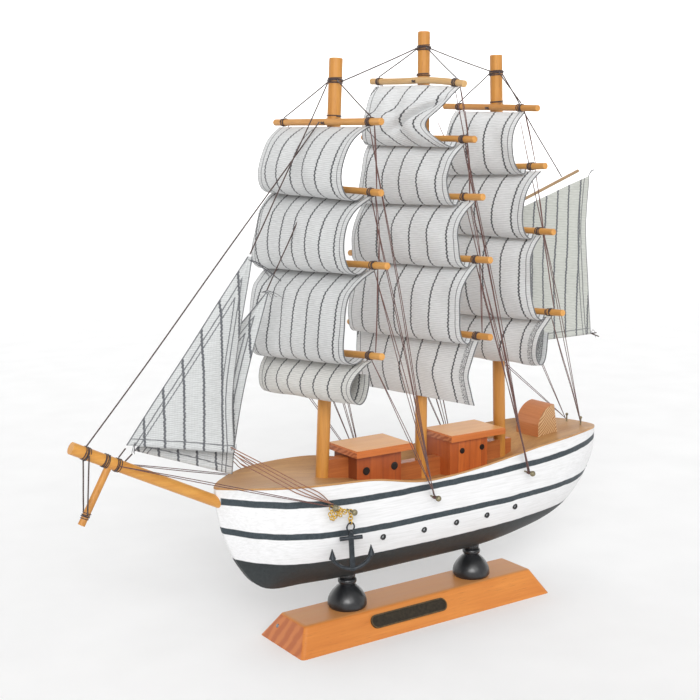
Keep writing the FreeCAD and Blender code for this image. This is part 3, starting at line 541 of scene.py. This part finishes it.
def run_along(grid, axis):
    """Distance travelled over the cloth along one direction of its grid, from the first line."""
    steps = np.linalg.norm(np.diff(grid, axis=axis), axis=2)
    return np.insert(np.cumsum(steps, axis=axis), 0, 0.0, axis=axis)


def map_cloth(data, layer, first, second):
    """One UV layer of a sheet with two faces, in steps of 100 mm."""
    uv = data.uv_layers.new(name=layer)
    values = np.stack([np.tile(first.ravel(), 2), np.tile(second.ravel(), 2)], axis=1) / MM / 100.0
    index = np.empty(len(data.loops), np.int32)
    data.loops.foreach_get("vertex_index", index)
    uv.data.foreach_set("uv", values[index].ravel())


def sheet_piece(name, grid, material, replaced, level=False):
    """A cloth sheet from a grid of points, with a weave map and an edge map."""
    rows, cols = grid.shape[:2]
    du = np.gradient(grid, axis=1)
    dv = np.gradient(grid, axis=0)
    normal = np.cross(du, dv)
    normal /= np.linalg.norm(normal, axis=2)[..., None] + 1e-12
    half = normal * (CLOTH_THICKNESS * MM / 2)
    verts = np.concatenate([(grid + half).reshape(-1, 3), (grid - half).reshape(-1, 3)])
    shift = rows * cols
    faces = []
    for r in range(rows - 1):
        for c in range(cols - 1):
            a, b = r * cols + c, r * cols + c + 1
            d, e = a + cols, b + cols
            faces.append((a, b, e, d))
            faces.append((a + shift, d + shift, e + shift, b + shift))
    ring = list(range(cols)) + [r * cols + cols - 1 for r in range(1, rows)]
    ring += [(rows - 1) * cols + c for c in range(cols - 2, -1, -1)]
    ring += [r * cols for r in range(rows - 2, 0, -1)]
    for a, b in zip(ring, ring[1:] + ring[:1]):
        faces.append((a, a + shift, b + shift, b))
    data = mesh_of(verts, faces, name)
    across, down = run_along(grid, 1), run_along(grid, 0)
    width, length = across[:, -1], down[-1]
    side = np.minimum(across, width[:, None] - across)
    if level:
        map_cloth(data, "weave", grid[:, :, 0], grid[:, :, 2])
        map_cloth(data, "edge", side * 0.85, down)
    else:
        map_cloth(data, "weave", across, down)
        map_cloth(data, "edge", side, np.minimum(down, length[None] - down))
    obj = add(name, data, material)
    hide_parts(replaced)


# ---- square sails ---------------------------------------------------------
def billow(belly, drop):
    """Forward and downward offsets, in mm, of a sail gathered to the next yard."""
    return [
        (0.5, 2.5), (0.2 * belly, 4.0), (0.42 * belly, 6.4), (0.64 * belly, 10.0),
        (0.83 * belly, 15.0), (0.97 * belly, 0.66 * drop), (belly, 0.85 * drop), (0.89 * belly, drop + 0.6),
        (0.65 * belly, drop + 3.4), (0.43 * belly, drop + 3.6), (2.8, drop + 1.4),
    ]


# the lowest sails: forward and downward offsets in mm, the fore and mizzen ones rolled back under themselves
FORE_ROLL = [
    (0.5, 2.6), (3.4, 4.6), (7.6, 9.5), (9.4, 15.0), (8.2, 20.5), (4.6, 23.6),
    (1.2, 21.6), (-0.6, 16.0), (-0.5, 9.5),
]
MIZZEN_ROLL = [
    (0.5, 2.6), (2.6, 6.0), (5.8, 11.0), (7.2, 17.0), (6.4, 24.0), (3.6, 28.2),
    (0.8, 26.6), (-0.8, 20.0), (-0.7, 11.0),
]
MAIN_COURSE = [(0.5, 2.6), (1.7, 8.0), (2.6, 15.0), (2.6, 23.0), (1.6, 30.0), (0.0, 35.6)]


# how far each sail's top corners stand beyond the thread wraps: port, starboard
OUTREACH = {
    "fore_yard_1": (0.5, 4.0), "main_yard_1": (4.0, 3.0), "main_yard_3": (8.0, 4.0),
    "mizzen_yard_1": (3.5, 3.0), "mizzen_yard_2": (8.0, 4.0),
}


def square_grid(yard, lower, loose, belly, seed):
    """Points of a sail hung between the wraps of its yard and gathered to the lower one, or hanging loose."""
    top = YARDS[yard]
    half = wrap_of(yard)
    rows, cols = SAIL_ROWS, SAIL_COLUMNS
    grid = np.zeros((rows, cols, 3))
    across = np.linspace(-1, 1, cols)
    for c, share in enumerate(across):
        a = top.at(share * half)
        if lower:
            b = YARDS[lower].at(share * wrap_of(lower))
            drop = (a[2] - b[2]) / MM
            profile = resample(billow(belly, drop), rows)
            t = profile[:, 1] / drop
        else:
            b = a
            profile = resample(loose, rows)
            t = np.zeros(rows)
        middle = 1.0 + 0.05 * (1 - share ** 2)
        grid[:, c, 0] = a[0] * (1 - t) + b[0] * t - profile[:, 0] * middle * MM
        grid[:, c, 1] = a[1] * (1 - t) + b[1] * t
        grid[:, c, 2] = a[2] - profile[:, 1] * MM
    height = np.linspace(0, 1, rows)[:, None]
    rise = np.sin(np.pi * height)
    side = np.clip(np.abs(across)[None, :] * 3 - 2, 0, 1) * np.sign(across)[None, :]
    port, starboard = OUTREACH.get(yard, (2.0, 2.0))
    reach = np.where(across < 0, port, starboard)[None, :]
    grid[:, :, 1] += MM * side * (reach * (1 - height) ** 2 - 2.0 * rise - 1.0 * height)
    grid[:, :, 0] += 0.55 * MM * wavy((rows, cols), seed, 3.2, 1.2) * rise
    grid[:, :, 2] += 0.3 * MM * wavy((rows, cols), seed + 1, 4.0, 1.5) * rise
    grid[:, :, 1] += 0.5 * MM * wavy((rows, cols), seed + 2, 1.0, 2.2) * rise
    return grid


def crumple(grid):
    """Pulls one sail's port edge in and presses a slanted crease across it."""
    rows, cols = grid.shape[:2]
    v, u = np.mgrid[0:1:rows * 1j, 0:1:cols * 1j]
    pulled_in = 15 * MM
    grid[:, :, 1] += pulled_in * np.exp(-((v - 0.56) / 0.24) ** 2) * np.clip(1 - u / 0.8, 0, 1) ** 1.6
    crease = np.exp(-((v - 0.18 - 0.75 * u) / 0.07) ** 2) * np.sin(np.pi * np.clip(u / 0.75, 0, 1))
    grid[:, :, 0] += MM * (3.2 * crease - 1.8 * np.roll(crease, -5, axis=0))
    grid[:, :, 2] -= 1.5 * MM * crease
    grid[:, :, 1] += 1.6 * MM * crease * np.sin(9 * u)


cloth_fore = cloth("sail_cotton_fore", 12.2, 8.0)
# the main, mizzen and course cloths are painted lighter than the fore cloth: painted light that offsets the
# shade the sails ahead cast on them
cloth_main_painted_light = cloth("sail_cotton_main_painted_light", 15.0, 9.0, low=rgb(202, 204, 205), high=rgb(230, 232, 233))
cloth_mizzen_painted_light = cloth("sail_cotton_mizzen_painted_light", 14.4, 8.5, low=rgb(204, 206, 207), high=rgb(232, 234, 235))
cloth_course_painted_light = cloth("sail_cotton_course_painted_light", 15.0, 13.0, low=rgb(202, 203, 203), high=rgb(228, 229, 229),
                     band=True)
cloth_beige = cloth("sail_cotton_warm", 12.2, 8.0, low=rgb(190, 189, 185), high=rgb(218, 217, 213))
BELLY = {"fore": 14.8, "main": 9.0, "mizzen": 9.0}
CLOTHS = {"fore": cloth_fore, "main": cloth_main_painted_light, "mizzen": cloth_mizzen_painted_light}
LOWEST = {
    "fore": (FORE_ROLL, cloth_beige),
    "main": (MAIN_COURSE, cloth_course_painted_light),
    "mizzen": (MIZZEN_ROLL, cloth_course_painted_light),
}
SAIL_ROWS, SAIL_COLUMNS = 60, 84

for family, count in (("fore", 4), ("main", 5), ("mizzen", 4)):
    for number in range(1, count + 1):
        yard = f"{family}_yard_{number}"
        lower = f"{family}_yard_{number + 1}" if number < count else None
        points, material = LOWEST[family]
        if lower:
            points, material = None, CLOTHS[family]
        grid = square_grid(yard, lower, points, BELLY[family], 17 * number + len(family))
        if yard == "main_yard_1":
            crumple(grid)
        sheet_piece(f"sail_{family}_{number}", grid, material, f"{family}_sail_{number}")


# ---- jibs and spanker -----------------------------------------------------
def triangle_grid(luff, leech, rows, cols, y, belly, seed):
    """Points between a straight or curved luff and leech, both from foot to head."""
    left = resample(luff, rows)
    right = resample(leech, rows)
    s = np.linspace(0, 1, cols)[None, :, None]
    flat = left[:, None] * (1 - s) + right[:, None] * s
    grid = np.zeros((rows, cols, 3))
    grid[:, :, 0] = flat[:, :, 0] * MM
    grid[:, :, 2] = flat[:, :, 1] * MM
    bulge = np.sin(np.pi * s[:, :, 0]) * np.sin(np.pi * np.linspace(0.04, 1, rows))[:, None]
    grid[:, :, 1] = (y + belly * bulge) * MM + 0.25 * MM * wavy((rows, cols), seed, 2.4, 2.0)
    return grid


cloth_jib = cloth("sail_cotton_jib", 10.1, 4.0, low=rgb(178, 180, 180), high=rgb(206, 208, 208), double=True)
# the spanker's cloth is a darker grey than the jibs': painted shade, as the spanker hangs in shade
cloth_spanker_painted_shade = cloth("sail_cotton_spanker_painted_shade", 8.9, 5.0, low=rgb(166, 168, 162), high=rgb(194, 196, 190),
                      double=True)


def flat_sheet(name, luff, leech, y, belly, material, replaced, seed):
    grid = triangle_grid(luff, leech, 70, 44, y, belly, seed)
    sheet_piece(name, grid, material, replaced, level=True)


flat_sheet("jib_outer", [(-166.7, 118.6), (-101.8, 201.8)],
           [(-110.7, 107.0), (-110.2, 142.9), (-99.2, 201.8)],
           -3.4, -1.6, cloth_jib, "outer_jib", 5)
flat_sheet("jib_inner", [(-159.7, 113.6), (-87.9, 182.9)],
           [(-108.3, 94.4), (-106.0, 111.5), (-99.8, 140.8), (-86.8, 182.4)],
           3.4, 1.4, cloth_jib, "inner_jib", 8)
flat_sheet("spanker_sheet", [(68.2, 143.6), (66.6, 217.5)],
           [(133.0, 144.2), (126.6, 198.0), (127.2, 237.4)],
           0.0, 1.2, cloth_spanker_painted_shade, "spanker", 12)


# ---- threads --------------------------------------------------------------
def tube(points, radius, sides=6):
    """Vertices and faces of a round thread along a line of points."""
    p = np.asarray(points, float)
    way = np.gradient(p, axis=0)
    way /= np.linalg.norm(way, axis=1)[:, None] + 1e-12
    start = np.cross(way[0], [0.31, 0.57, 0.76])
    normal = start / np.linalg.norm(start)
    verts, faces = [], []
    for centre, direction in zip(p, way):
        normal = normal - direction * np.dot(normal, direction)
        normal /= np.linalg.norm(normal)
        other = np.cross(direction, normal)
        for k in range(sides):
            a = 2 * math.pi * k / sides
            verts.append(centre + radius * (math.cos(a) * normal + math.sin(a) * other))
    for r in range(len(p) - 1):
        for k in range(sides):
            a, b = r * sides + k, r * sides + (k + 1) % sides
            faces.append((a, b, b + sides, a + sides))
    faces.append(tuple(range(sides))[::-1])
    faces.append(tuple((len(p) - 1) * sides + k for k in range(sides)))
    return verts, faces


def thread_piece(name, lines, material, radius=0.22, replaced=()):
    """One piece made of many threads."""
    verts, faces = gathered(tube(line, radius * MM) for line in lines)
    obj = add(name, mesh_of(verts, faces, name), material)
    if replaced:
        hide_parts(*replaced)


def coil(centre, axis, radius, width, turns, r):
    """Untidy turns of thread wound round a spar."""
    axis, first, second = square_to(axis)
    steps = int(turns * 14)
    t = np.linspace(0, 1, steps)
    a = 2 * math.pi * turns * t + r.uniform(0, 6.28)
    run = (t - 0.5) * width + 0.25 * MM * np.sin(a * 0.37 + r.uniform(0, 6.28))
    fat = radius + 0.1 * MM * np.sin(a * 0.61 + r.uniform(0, 6.28))
    round_it = np.cos(a)[:, None] * first + np.sin(a)[:, None] * second
    return centre + axis * run[:, None] + fat[:, None] * round_it


def loop_over(front, back, low, high, y0, y1, r):
    """One slanted turn of thread round a yard and its mast."""
    t = np.linspace(0, 2 * math.pi, 30)
    x = (front + back) / 2 - (back - front) / 2 * np.cos(t)
    z = (low + high) / 2 - (high - low) / 2 * np.cos(t + 0.9) * 0.6
    y = (y0 + y1) / 2 + (y1 - y0) / 2 * np.sin(t)
    return np.stack([x, y, z], axis=1) + r.uniform(-0.1, 0.1) * MM


def separate(name):
    """Vertex sets of the loose parts of a CAD node."""
    mesh = bmesh.new()
    mesh.from_mesh(nodes[name].data)
    bmesh.ops.remove_doubles(mesh, verts=mesh.verts, dist=1e-6)
    mesh.verts.ensure_lookup_table()
    seen, parts = set(), []
    for seed in mesh.verts:
        if seed.index in seen:
            continue
        stack, found = [seed], []
        seen.add(seed.index)
        while stack:
            v = stack.pop()
            found.append(tuple(v.co))
            for edge in v.link_edges:
                other = edge.other_vert(v)
                if other.index not in seen:
                    seen.add(other.index)
                    stack.append(other)
        parts.append(np.array(found))
    mesh.free()
    return parts


def axis_of(points):
    """Ends of the axis of a long thin part, and its half width."""
    centre = points.mean(0)
    direction = np.linalg.svd(points - centre, full_matrices=False)[2][0]
    along = (points - centre) @ direction
    a, b = centre + direction * along.min(), centre + direction * along.max()
    off = points - centre - along[:, None] * direction
    return a, b, np.linalg.norm(off, axis=1).max()


def slack(a, b, sag, r, offset):
    """A hand-tied thread between two points: it sags a little and wanders."""
    length = np.linalg.norm(b - a)
    t = np.linspace(0, 1, 14)[:, None]
    arch = 4 * t * (1 - t)
    line = a * (1 - t) + b * t
    line[:, 2:] -= sag * length * arch * (1 - abs(b[2] - a[2]) / length * 0.6)
    line += offset * np.sin(math.pi * t)
    line[:, 1:2] += 0.004 * length * np.sin(2 * math.pi * t + r.uniform(0, 6.28)) * np.sin(math.pi * t)
    return line


# fore and aft reach of the CAD's jib sheets, which jib_sheets() draws instead
JIB_SHEET_FRONT, JIB_SHEET_BACK = -0.115, -0.0712


def rig(name, material, doubles, radius=0.2):
    """Threads in place of a node's straight lines, and coils for its short drums."""
    r = random.Random(len(name))
    lines = []
    for points in separate(name):
        if points[:, 0].max() < JIB_SHEET_BACK and points[:, 0].min() > JIB_SHEET_FRONT:
            continue
        a, b, half = axis_of(points)
        length = np.linalg.norm(b - a)
        if length < 6 * half:
            centre = (points.min(0) + points.max(0)) / 2
            size = points.max(0) - points.min(0)
            if size.max() > 1.6 * MM:
                lines.append(coil(centre, (0, 1, 0), 0.72 * MM, size[1], 6, r))
            continue
        lines.append(slack(a, b, 0.006, r, np.zeros(3)))
        if doubles and length > 12 * MM:
            lines.append(slack(a, b, 0.002, r, np.array([0.7, r.uniform(-0.5, 0.5), 0.4]) * MM))
    return thread_piece(name + "_threads", lines, material, radius, (name,))


def wind_lashings():
    r = random.Random(5)
    lines = []
    for name, yard in YARDS.items():
        for side in (-1, 1):
            place = side * wrap_of(name)
            centre = yard.at(place)
            axis = yard.at(place + 0.002) - yard.at(place - 0.002)
            lines.append(coil(centre, axis, 1.92 * MM, r.uniform(2.4, 3.4) * MM, r.choice((3, 4, 5)), r))
            beside = centre + axis / np.linalg.norm(axis) * side * 1.6 * MM
            lines.append(coil(beside, axis, 1.95 * MM, 0.5 * MM, 1.5, r))
        mast = MASTS[name.split("_")[0] + "mast"]
        middle = yard.at(0.0)
        stem = mast.at(middle[2])
        front, back = middle[0] - 2.0 * MM, stem[0] + 3.8 * MM
        for lift, y0, y1 in ((1.6, -3.6, 3.0), (1.9, 3.2, -3.4), (2.4, -3.0, 3.7)):
            low, high = middle[2] - lift * MM, middle[2] + (lift + 1.0) * MM
            lines.append(loop_over(front, back, low, high, y0 * MM, y1 * MM, r))
        top = stem + (mast.b - mast.a) / np.linalg.norm(mast.b - mast.a) * 3.0 * MM
        lines.append(coil(top, mast.b - mast.a, 3.65 * MM, 0.9 * MM, 2, r))
    bands = (("foremast", 285.5, 3.6), ("mainmast", 303.8, 3.4), ("mizzenmast", 293.0, 3.6))
    for mast, height, radius in bands:
        axis = MASTS[mast].b - MASTS[mast].a
        centre = MASTS[mast].at(height * MM)
        lines.append(coil(centre, axis, radius * MM, 3.0 * MM, 5, r))
        lines.append(coil(centre, axis + np.array([0.02, 0.03, 0]), (radius + 0.3) * MM, 2.0 * MM, 2, r))
    tip, heel = np.array([-191.8, 0, 120.1]) * MM, np.array([-113.0, 0, 80.2]) * MM
    for share, turns in ((0.085, 5), (0.205, 5), (0.275, 4)):
        lines.append(coil(tip + (heel - tip) * share, heel - tip, 3.12 * MM, 2.6 * MM, turns, r))
    top, foot = np.array([-173.9, 0, 109.6]) * MM, np.array([-188.3, 0, 83.6]) * MM
    lines.append(coil(top + (foot - top) * 0.84, foot - top, 1.92 * MM, 2.8 * MM, 5, r))
    thread_piece("wound_lashings", lines, umber, 0.22, ("lashings",))


def frays():
    """Loose warp ends at the sail corners."""
    r = random.Random(9)
    lines = []
    corners = [
        ((-101.5, -3.8, 200.4), (20.0, -1.5, -15.0), 5), ((-90.2, 3.4, 183.4), (11.0, -1.0, -3.5), 4),
        ((-162.2, -3.6, 119.4), (-2.0, -0.5, -5.5), 3), ((127.0, 0.3, 237.2), (7.0, -0.8, 2.5), 4),
        ((132.8, 0.3, 144.6), (5.0, -0.6, -1.5), 3), ((-109.8, -3.6, 108.6), (-2.0, -1.0, 2.8), 2),
    ]
    for corner, reach, count in corners:
        for _ in range(count):
            a = np.array(corner)
            b = a + np.array(reach) * r.uniform(0.55, 1.0)
            b = b + np.array([r.uniform(-1.8, 1.8), r.uniform(-0.6, 0.6), r.uniform(-2.4, 2.4)])
            mid = (a + b) / 2 + np.array([0.0, 0.0, r.uniform(0.6, 2.6)])
            lines.append(resample([a, mid, b], 14) * MM)
    thread_piece("frayed_ends", lines, warp_thread, 0.13)


# forward edge of the deck: where along the ship, and how far out, in mm
DECK_EDGE_X = (-105.0, -98.5, -91.0, -78.0, -60.0)
DECK_EDGE_Y = (15.2, 19.4, 23.0, 26.8, 29.0)
CLEWS = ((-113.2, 110.4), (-110.9, 107.6), (-109.6, 105.0), (-108.4, 101.8))
CLEW_Y = 4.3


def jib_sheets():
    """Four threads on each side, from the jibs' clews over the deck edge to the forward pin."""
    lines = []
    for side in (-1, 1):
        for i, (clew_x, clew_z) in enumerate(CLEWS):
            knee_x = -85.0 - 3.0 * i
            knee_y, rub_y = np.interp((knee_x, knee_x + 8.0), DECK_EDGE_X, DECK_EDGE_Y)
            middle_y = 0.5 * (CLEW_Y + knee_y) + 0.2
            path = [
                (clew_x, side * CLEW_Y, clew_z),
                (0.5 * (clew_x + knee_x), side * middle_y, 0.5 * (clew_z + 91.9) + 0.1),
                (knee_x, side * (knee_y + 0.55), 91.8),
                (knee_x + 8.0, side * (rub_y + 0.75), 87.0),
                (-71.6, side * (29.9 + 0.5 * i), 80.9 + 0.2 * i),
            ]
            lines.append(resample(path, 40) * MM)
    thread_piece("jib_sheets", lines, russet, 0.24)


rig("stays", umber, False, 0.34)
rig("port_rigging", maroon, True)
rig("starboard_rigging", maroon, True)
wind_lashings()
jib_sheets()
frays()


# ---- small fittings -------------------------------------------------------
def dome(centre, radius, height, axis, rings=6, sides=20):
    """A low round cap standing on a point, its top along an axis."""
    axis, first, second = square_to(axis)
    verts, faces = [], []
    for k in range(rings + 1):
        a = 0.5 * math.pi * k / rings
        spread, lift = max(radius * math.cos(a), 1e-6), height * math.sin(a)
        for m in range(sides):
            b = 2 * math.pi * m / sides
            verts.append(centre + axis * lift + spread * (math.cos(b) * first + math.sin(b) * second))
    for k in range(rings):
        for m in range(sides):
            a, b = k * sides + m, k * sides + (m + 1) % sides
            faces.append((a, b, b + sides, a + sides))
    return verts, faces


def port_glasses():
    """Grey domed centres of the hull's portholes."""
    domes = []
    for points in separate("hull_portholes"):
        low, high = points.min(0), points.max(0)
        side = 1.0 if high[1] > 0 else -1.0
        outer = high[1] if side > 0 else low[1]
        centre = np.array([(low[0] + high[0]) / 2, outer - side * 0.75 * MM, (low[2] + high[2]) / 2])
        domes.append(dome(centre, 0.78 * MM, 0.45 * MM, (0, side, 0)))
    verts, faces = gathered(domes)
    add("porthole_glasses", mesh_of(verts, faces, "porthole_glasses"), port_grey)


def end_nail():
    """Head of the nail in the stand's fore end."""
    centre = np.array([-79.9, 9.8, 7.4]) * MM
    v, f = dome(centre, 1.05 * MM, 0.5 * MM, (-0.87, 0.0, 0.49))
    add("stand_nail", mesh_of(v, f, "stand_nail"), steel)


def ring_link(centre, normal, radius, wire, turns=16, sides=6):
    """A small wire ring."""
    normal, first, second = square_to(normal, (0.31, 0.77, 0.55))
    verts, faces = [], []
    for k in range(turns):
        a = 2 * math.pi * k / turns
        out = math.cos(a) * first + math.sin(a) * second
        for m in range(sides):
            b = 2 * math.pi * m / sides
            verts.append(centre + out * (radius + wire * math.cos(b)) + normal * wire * math.sin(b))
    for k in range(turns):
        for m in range(sides):
            a, b = k * sides + m, k * sides + (m + 1) % sides
            ahead = ((k + 1) % turns) * sides
            c, d = ahead + m, ahead + (m + 1) % sides
            faces.append((a, c, d, b))
    return verts, faces


# middles of the slack links, seen from the side: the upper row lies on the hull and the lower one hangs
HEAPED_LINKS = [
    (-73.6, 80.0), (-72.4, 78.6), (-71.2, 79.4), (-70.2, 78.0), (-69.2, 78.8),
    (-68.2, 77.6), (-67.3, 78.0), (-66.3, 76.9), (-65.4, 77.2),
]
HANGING_LINKS = [
    (-73.0, 78.0), (-73.6, 76.6), (-73.2, 75.2), (-72.0, 74.6),
    (-70.9, 75.3), (-70.6, 76.6), (-69.4, 76.4), (-68.3, 75.9),
]
LINK_Y = 31.6


def spare_links(side):
    """Slack chain heaped on the forward pin and trailing toward the chain pin."""
    r = random.Random(21)
    links = []
    for number, (x, z) in enumerate(HEAPED_LINKS + HANGING_LINKS):
        depth = LINK_Y + (0.7 if number < len(HEAPED_LINKS) else 0.2) + r.uniform(-0.3, 0.5)
        centre = np.array([x + r.uniform(-0.2, 0.2), side * depth, z + r.uniform(-0.2, 0.2)]) * MM
        if number % 2:
            normal = (r.uniform(-0.6, 0.6), 1.0, r.uniform(-0.5, 0.5))
        else:
            normal = (r.uniform(0.6, 1.0), 0.4, r.uniform(-0.6, 0.6))
        links.append(ring_link(centre, normal, r.uniform(0.9, 1.15) * MM, 0.27 * MM))
    return gathered(links)


def hang_spare_links():
    verts, faces = gathered(spare_links(side) for side in (-1, 1))
    obj = add("spare_links", mesh_of(verts, faces, "spare_links"), gold)
    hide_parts("chain_loops")


port_glasses()
end_nail()
hang_spare_links()


# ---- finishes on the CAD pieces -------------------------------------------
dress("base_block", base_graph.material)
dress("name_plate", bronze)
dress("pedestal_fore", black_lacquer)
dress("pedestal_aft", black_lacquer)
dress("stand_screws", steel)
dress("hull", hull_mat)
dress("deck", deck_wood)
for name in ("fore_cabin_house", "aft_cabin_house"):
    dress(name, house_wood)
for name in ("fore_cabin_roof", "aft_cabin_roof"):
    dress(name, roof_graph.material)
dress("stern_block", block_graph.material)
dress("deck_strips", strip_wood_partly_painted_shade)
for name in MASTS:
    dress(name, spar_z)
for name in YARDS:
    dress(name, spar_y_pale if name == "main_yard_1" else spar_y)
dress("bowsprit", spar_x)
dress("dolphin_striker", spar_z)
dress("gaff", spar_x_dull)
dress("cabin_portholes", port_black)
dress("hull_portholes", port_black)
dress("rigging_pins", brass)
for name in ("chain_loops", "port_chain", "starboard_chain"):
    dress(name, gold)
for name in ("port_anchor", "starboard_anchor"):
    dress(name, iron)
for name in ("lashings", "stays"):
    dress(name, umber)
for name in ("port_rigging", "starboard_rigging"):
    dress(name, maroon)


# ---- floor, light and camera ----------------------------------------------
def stage_floor():
    """Pale round floor that curves up into a low wall, like a studio cove."""
    flat = [(1.2, 0.0), (3.0, 0.0), (4.2, 0.0)]
    cove = [(4.55, 0.04), (4.8, 0.18), (4.95, 0.42), (5.0, 0.8), (5.0, 1.7)]
    turns = 96
    angles = [2 * math.pi * k / turns for k in range(turns)]
    verts = [(r * math.cos(a), r * math.sin(a), z) for r, z in flat + cove for a in angles]
    faces = [tuple(range(turns))]
    for ring in range(len(flat + cove) - 1):
        for k in range(turns):
            a, b = ring * turns + k, ring * turns + (k + 1) % turns
            faces.append((a, a + turns, b + turns, b))
    data = mesh_of(verts, faces, "floor")
    g = Graph("floor_paper")
    tones = [(0.3, (0.90, 0.90, 0.90)), (0.7, (0.93, 0.93, 0.93))]
    g.set("Base Color", g.ramp(g.noise(g.millimetres(), 0.02, 2.0), tones))
    g.set("Roughness", 0.9)
    data.materials.append(g.material)
    floor = bpy.data.objects.new("floor", data)
    bpy.context.scene.collection.objects.link(floor)


def soft_sun(name, toward, spread, power):
    """Wide even light that comes from one direction."""
    data = bpy.data.lights.new(name, "SUN")
    data.angle = math.radians(spread)
    data.energy = power
    light = bpy.data.objects.new(name, data)
    bpy.context.scene.collection.objects.link(light)
    light.rotation_euler = (-Vector(toward)).to_track_quat("-Z", "Y").to_euler()


def world_light(level):
    world = bpy.data.worlds.new("studio")
    bpy.context.scene.world = world
    world.use_nodes = True
    background = world.node_tree.nodes["Background"]
    background.inputs[0].default_value = (1.0, 1.0, 1.0, 1.0)
    background.inputs[1].default_value = level


CAMERA_PLACE = (-0.38262, -0.50337, 0.24888)
CAMERA_AZIMUTH, CAMERA_PITCH, CAMERA_ROLL = -34.205, 9.172, -0.128
SENSOR_MM = 36.0
FOCAL_SHARE = 1200.0 / 700.0


def camera():
    """The view from the port bow: focal length, place and angles of the fitted camera."""
    azimuth, pitch, roll = (math.radians(a) for a in (CAMERA_AZIMUTH, CAMERA_PITCH, CAMERA_ROLL))
    level = math.cos(pitch)
    back = Vector((math.sin(azimuth) * level, -math.cos(azimuth) * level, math.sin(pitch)))
    right = (-back).cross(Vector((0, 0, 1))).normalized()
    up = right.cross(-back)
    across = right * math.cos(roll) + up * math.sin(roll)
    upright = up * math.cos(roll) - right * math.sin(roll)
    data = bpy.data.cameras.new("camera")
    data.sensor_width = SENSOR_MM
    data.lens = FOCAL_SHARE * SENSOR_MM
    data.clip_start = 0.01
    data.clip_end = 20.0
    obj = bpy.data.objects.new("camera", data)
    bpy.context.scene.collection.objects.link(obj)
    turn = Matrix((across, upright, back)).transposed().to_4x4()
    obj.matrix_world = Matrix.Translation(Vector(CAMERA_PLACE)) @ turn
    bpy.context.scene.camera = obj


stage_floor()
world_light(0.66)
soft_sun("key", (-0.84, -1.16, 0.55), 36.0, 2.5)
soft_sun("fill", (-0.30, -1.30, 0.70), 44.0, 1.0)
bpy.context.scene.view_settings.view_transform = "Standard"
camera()
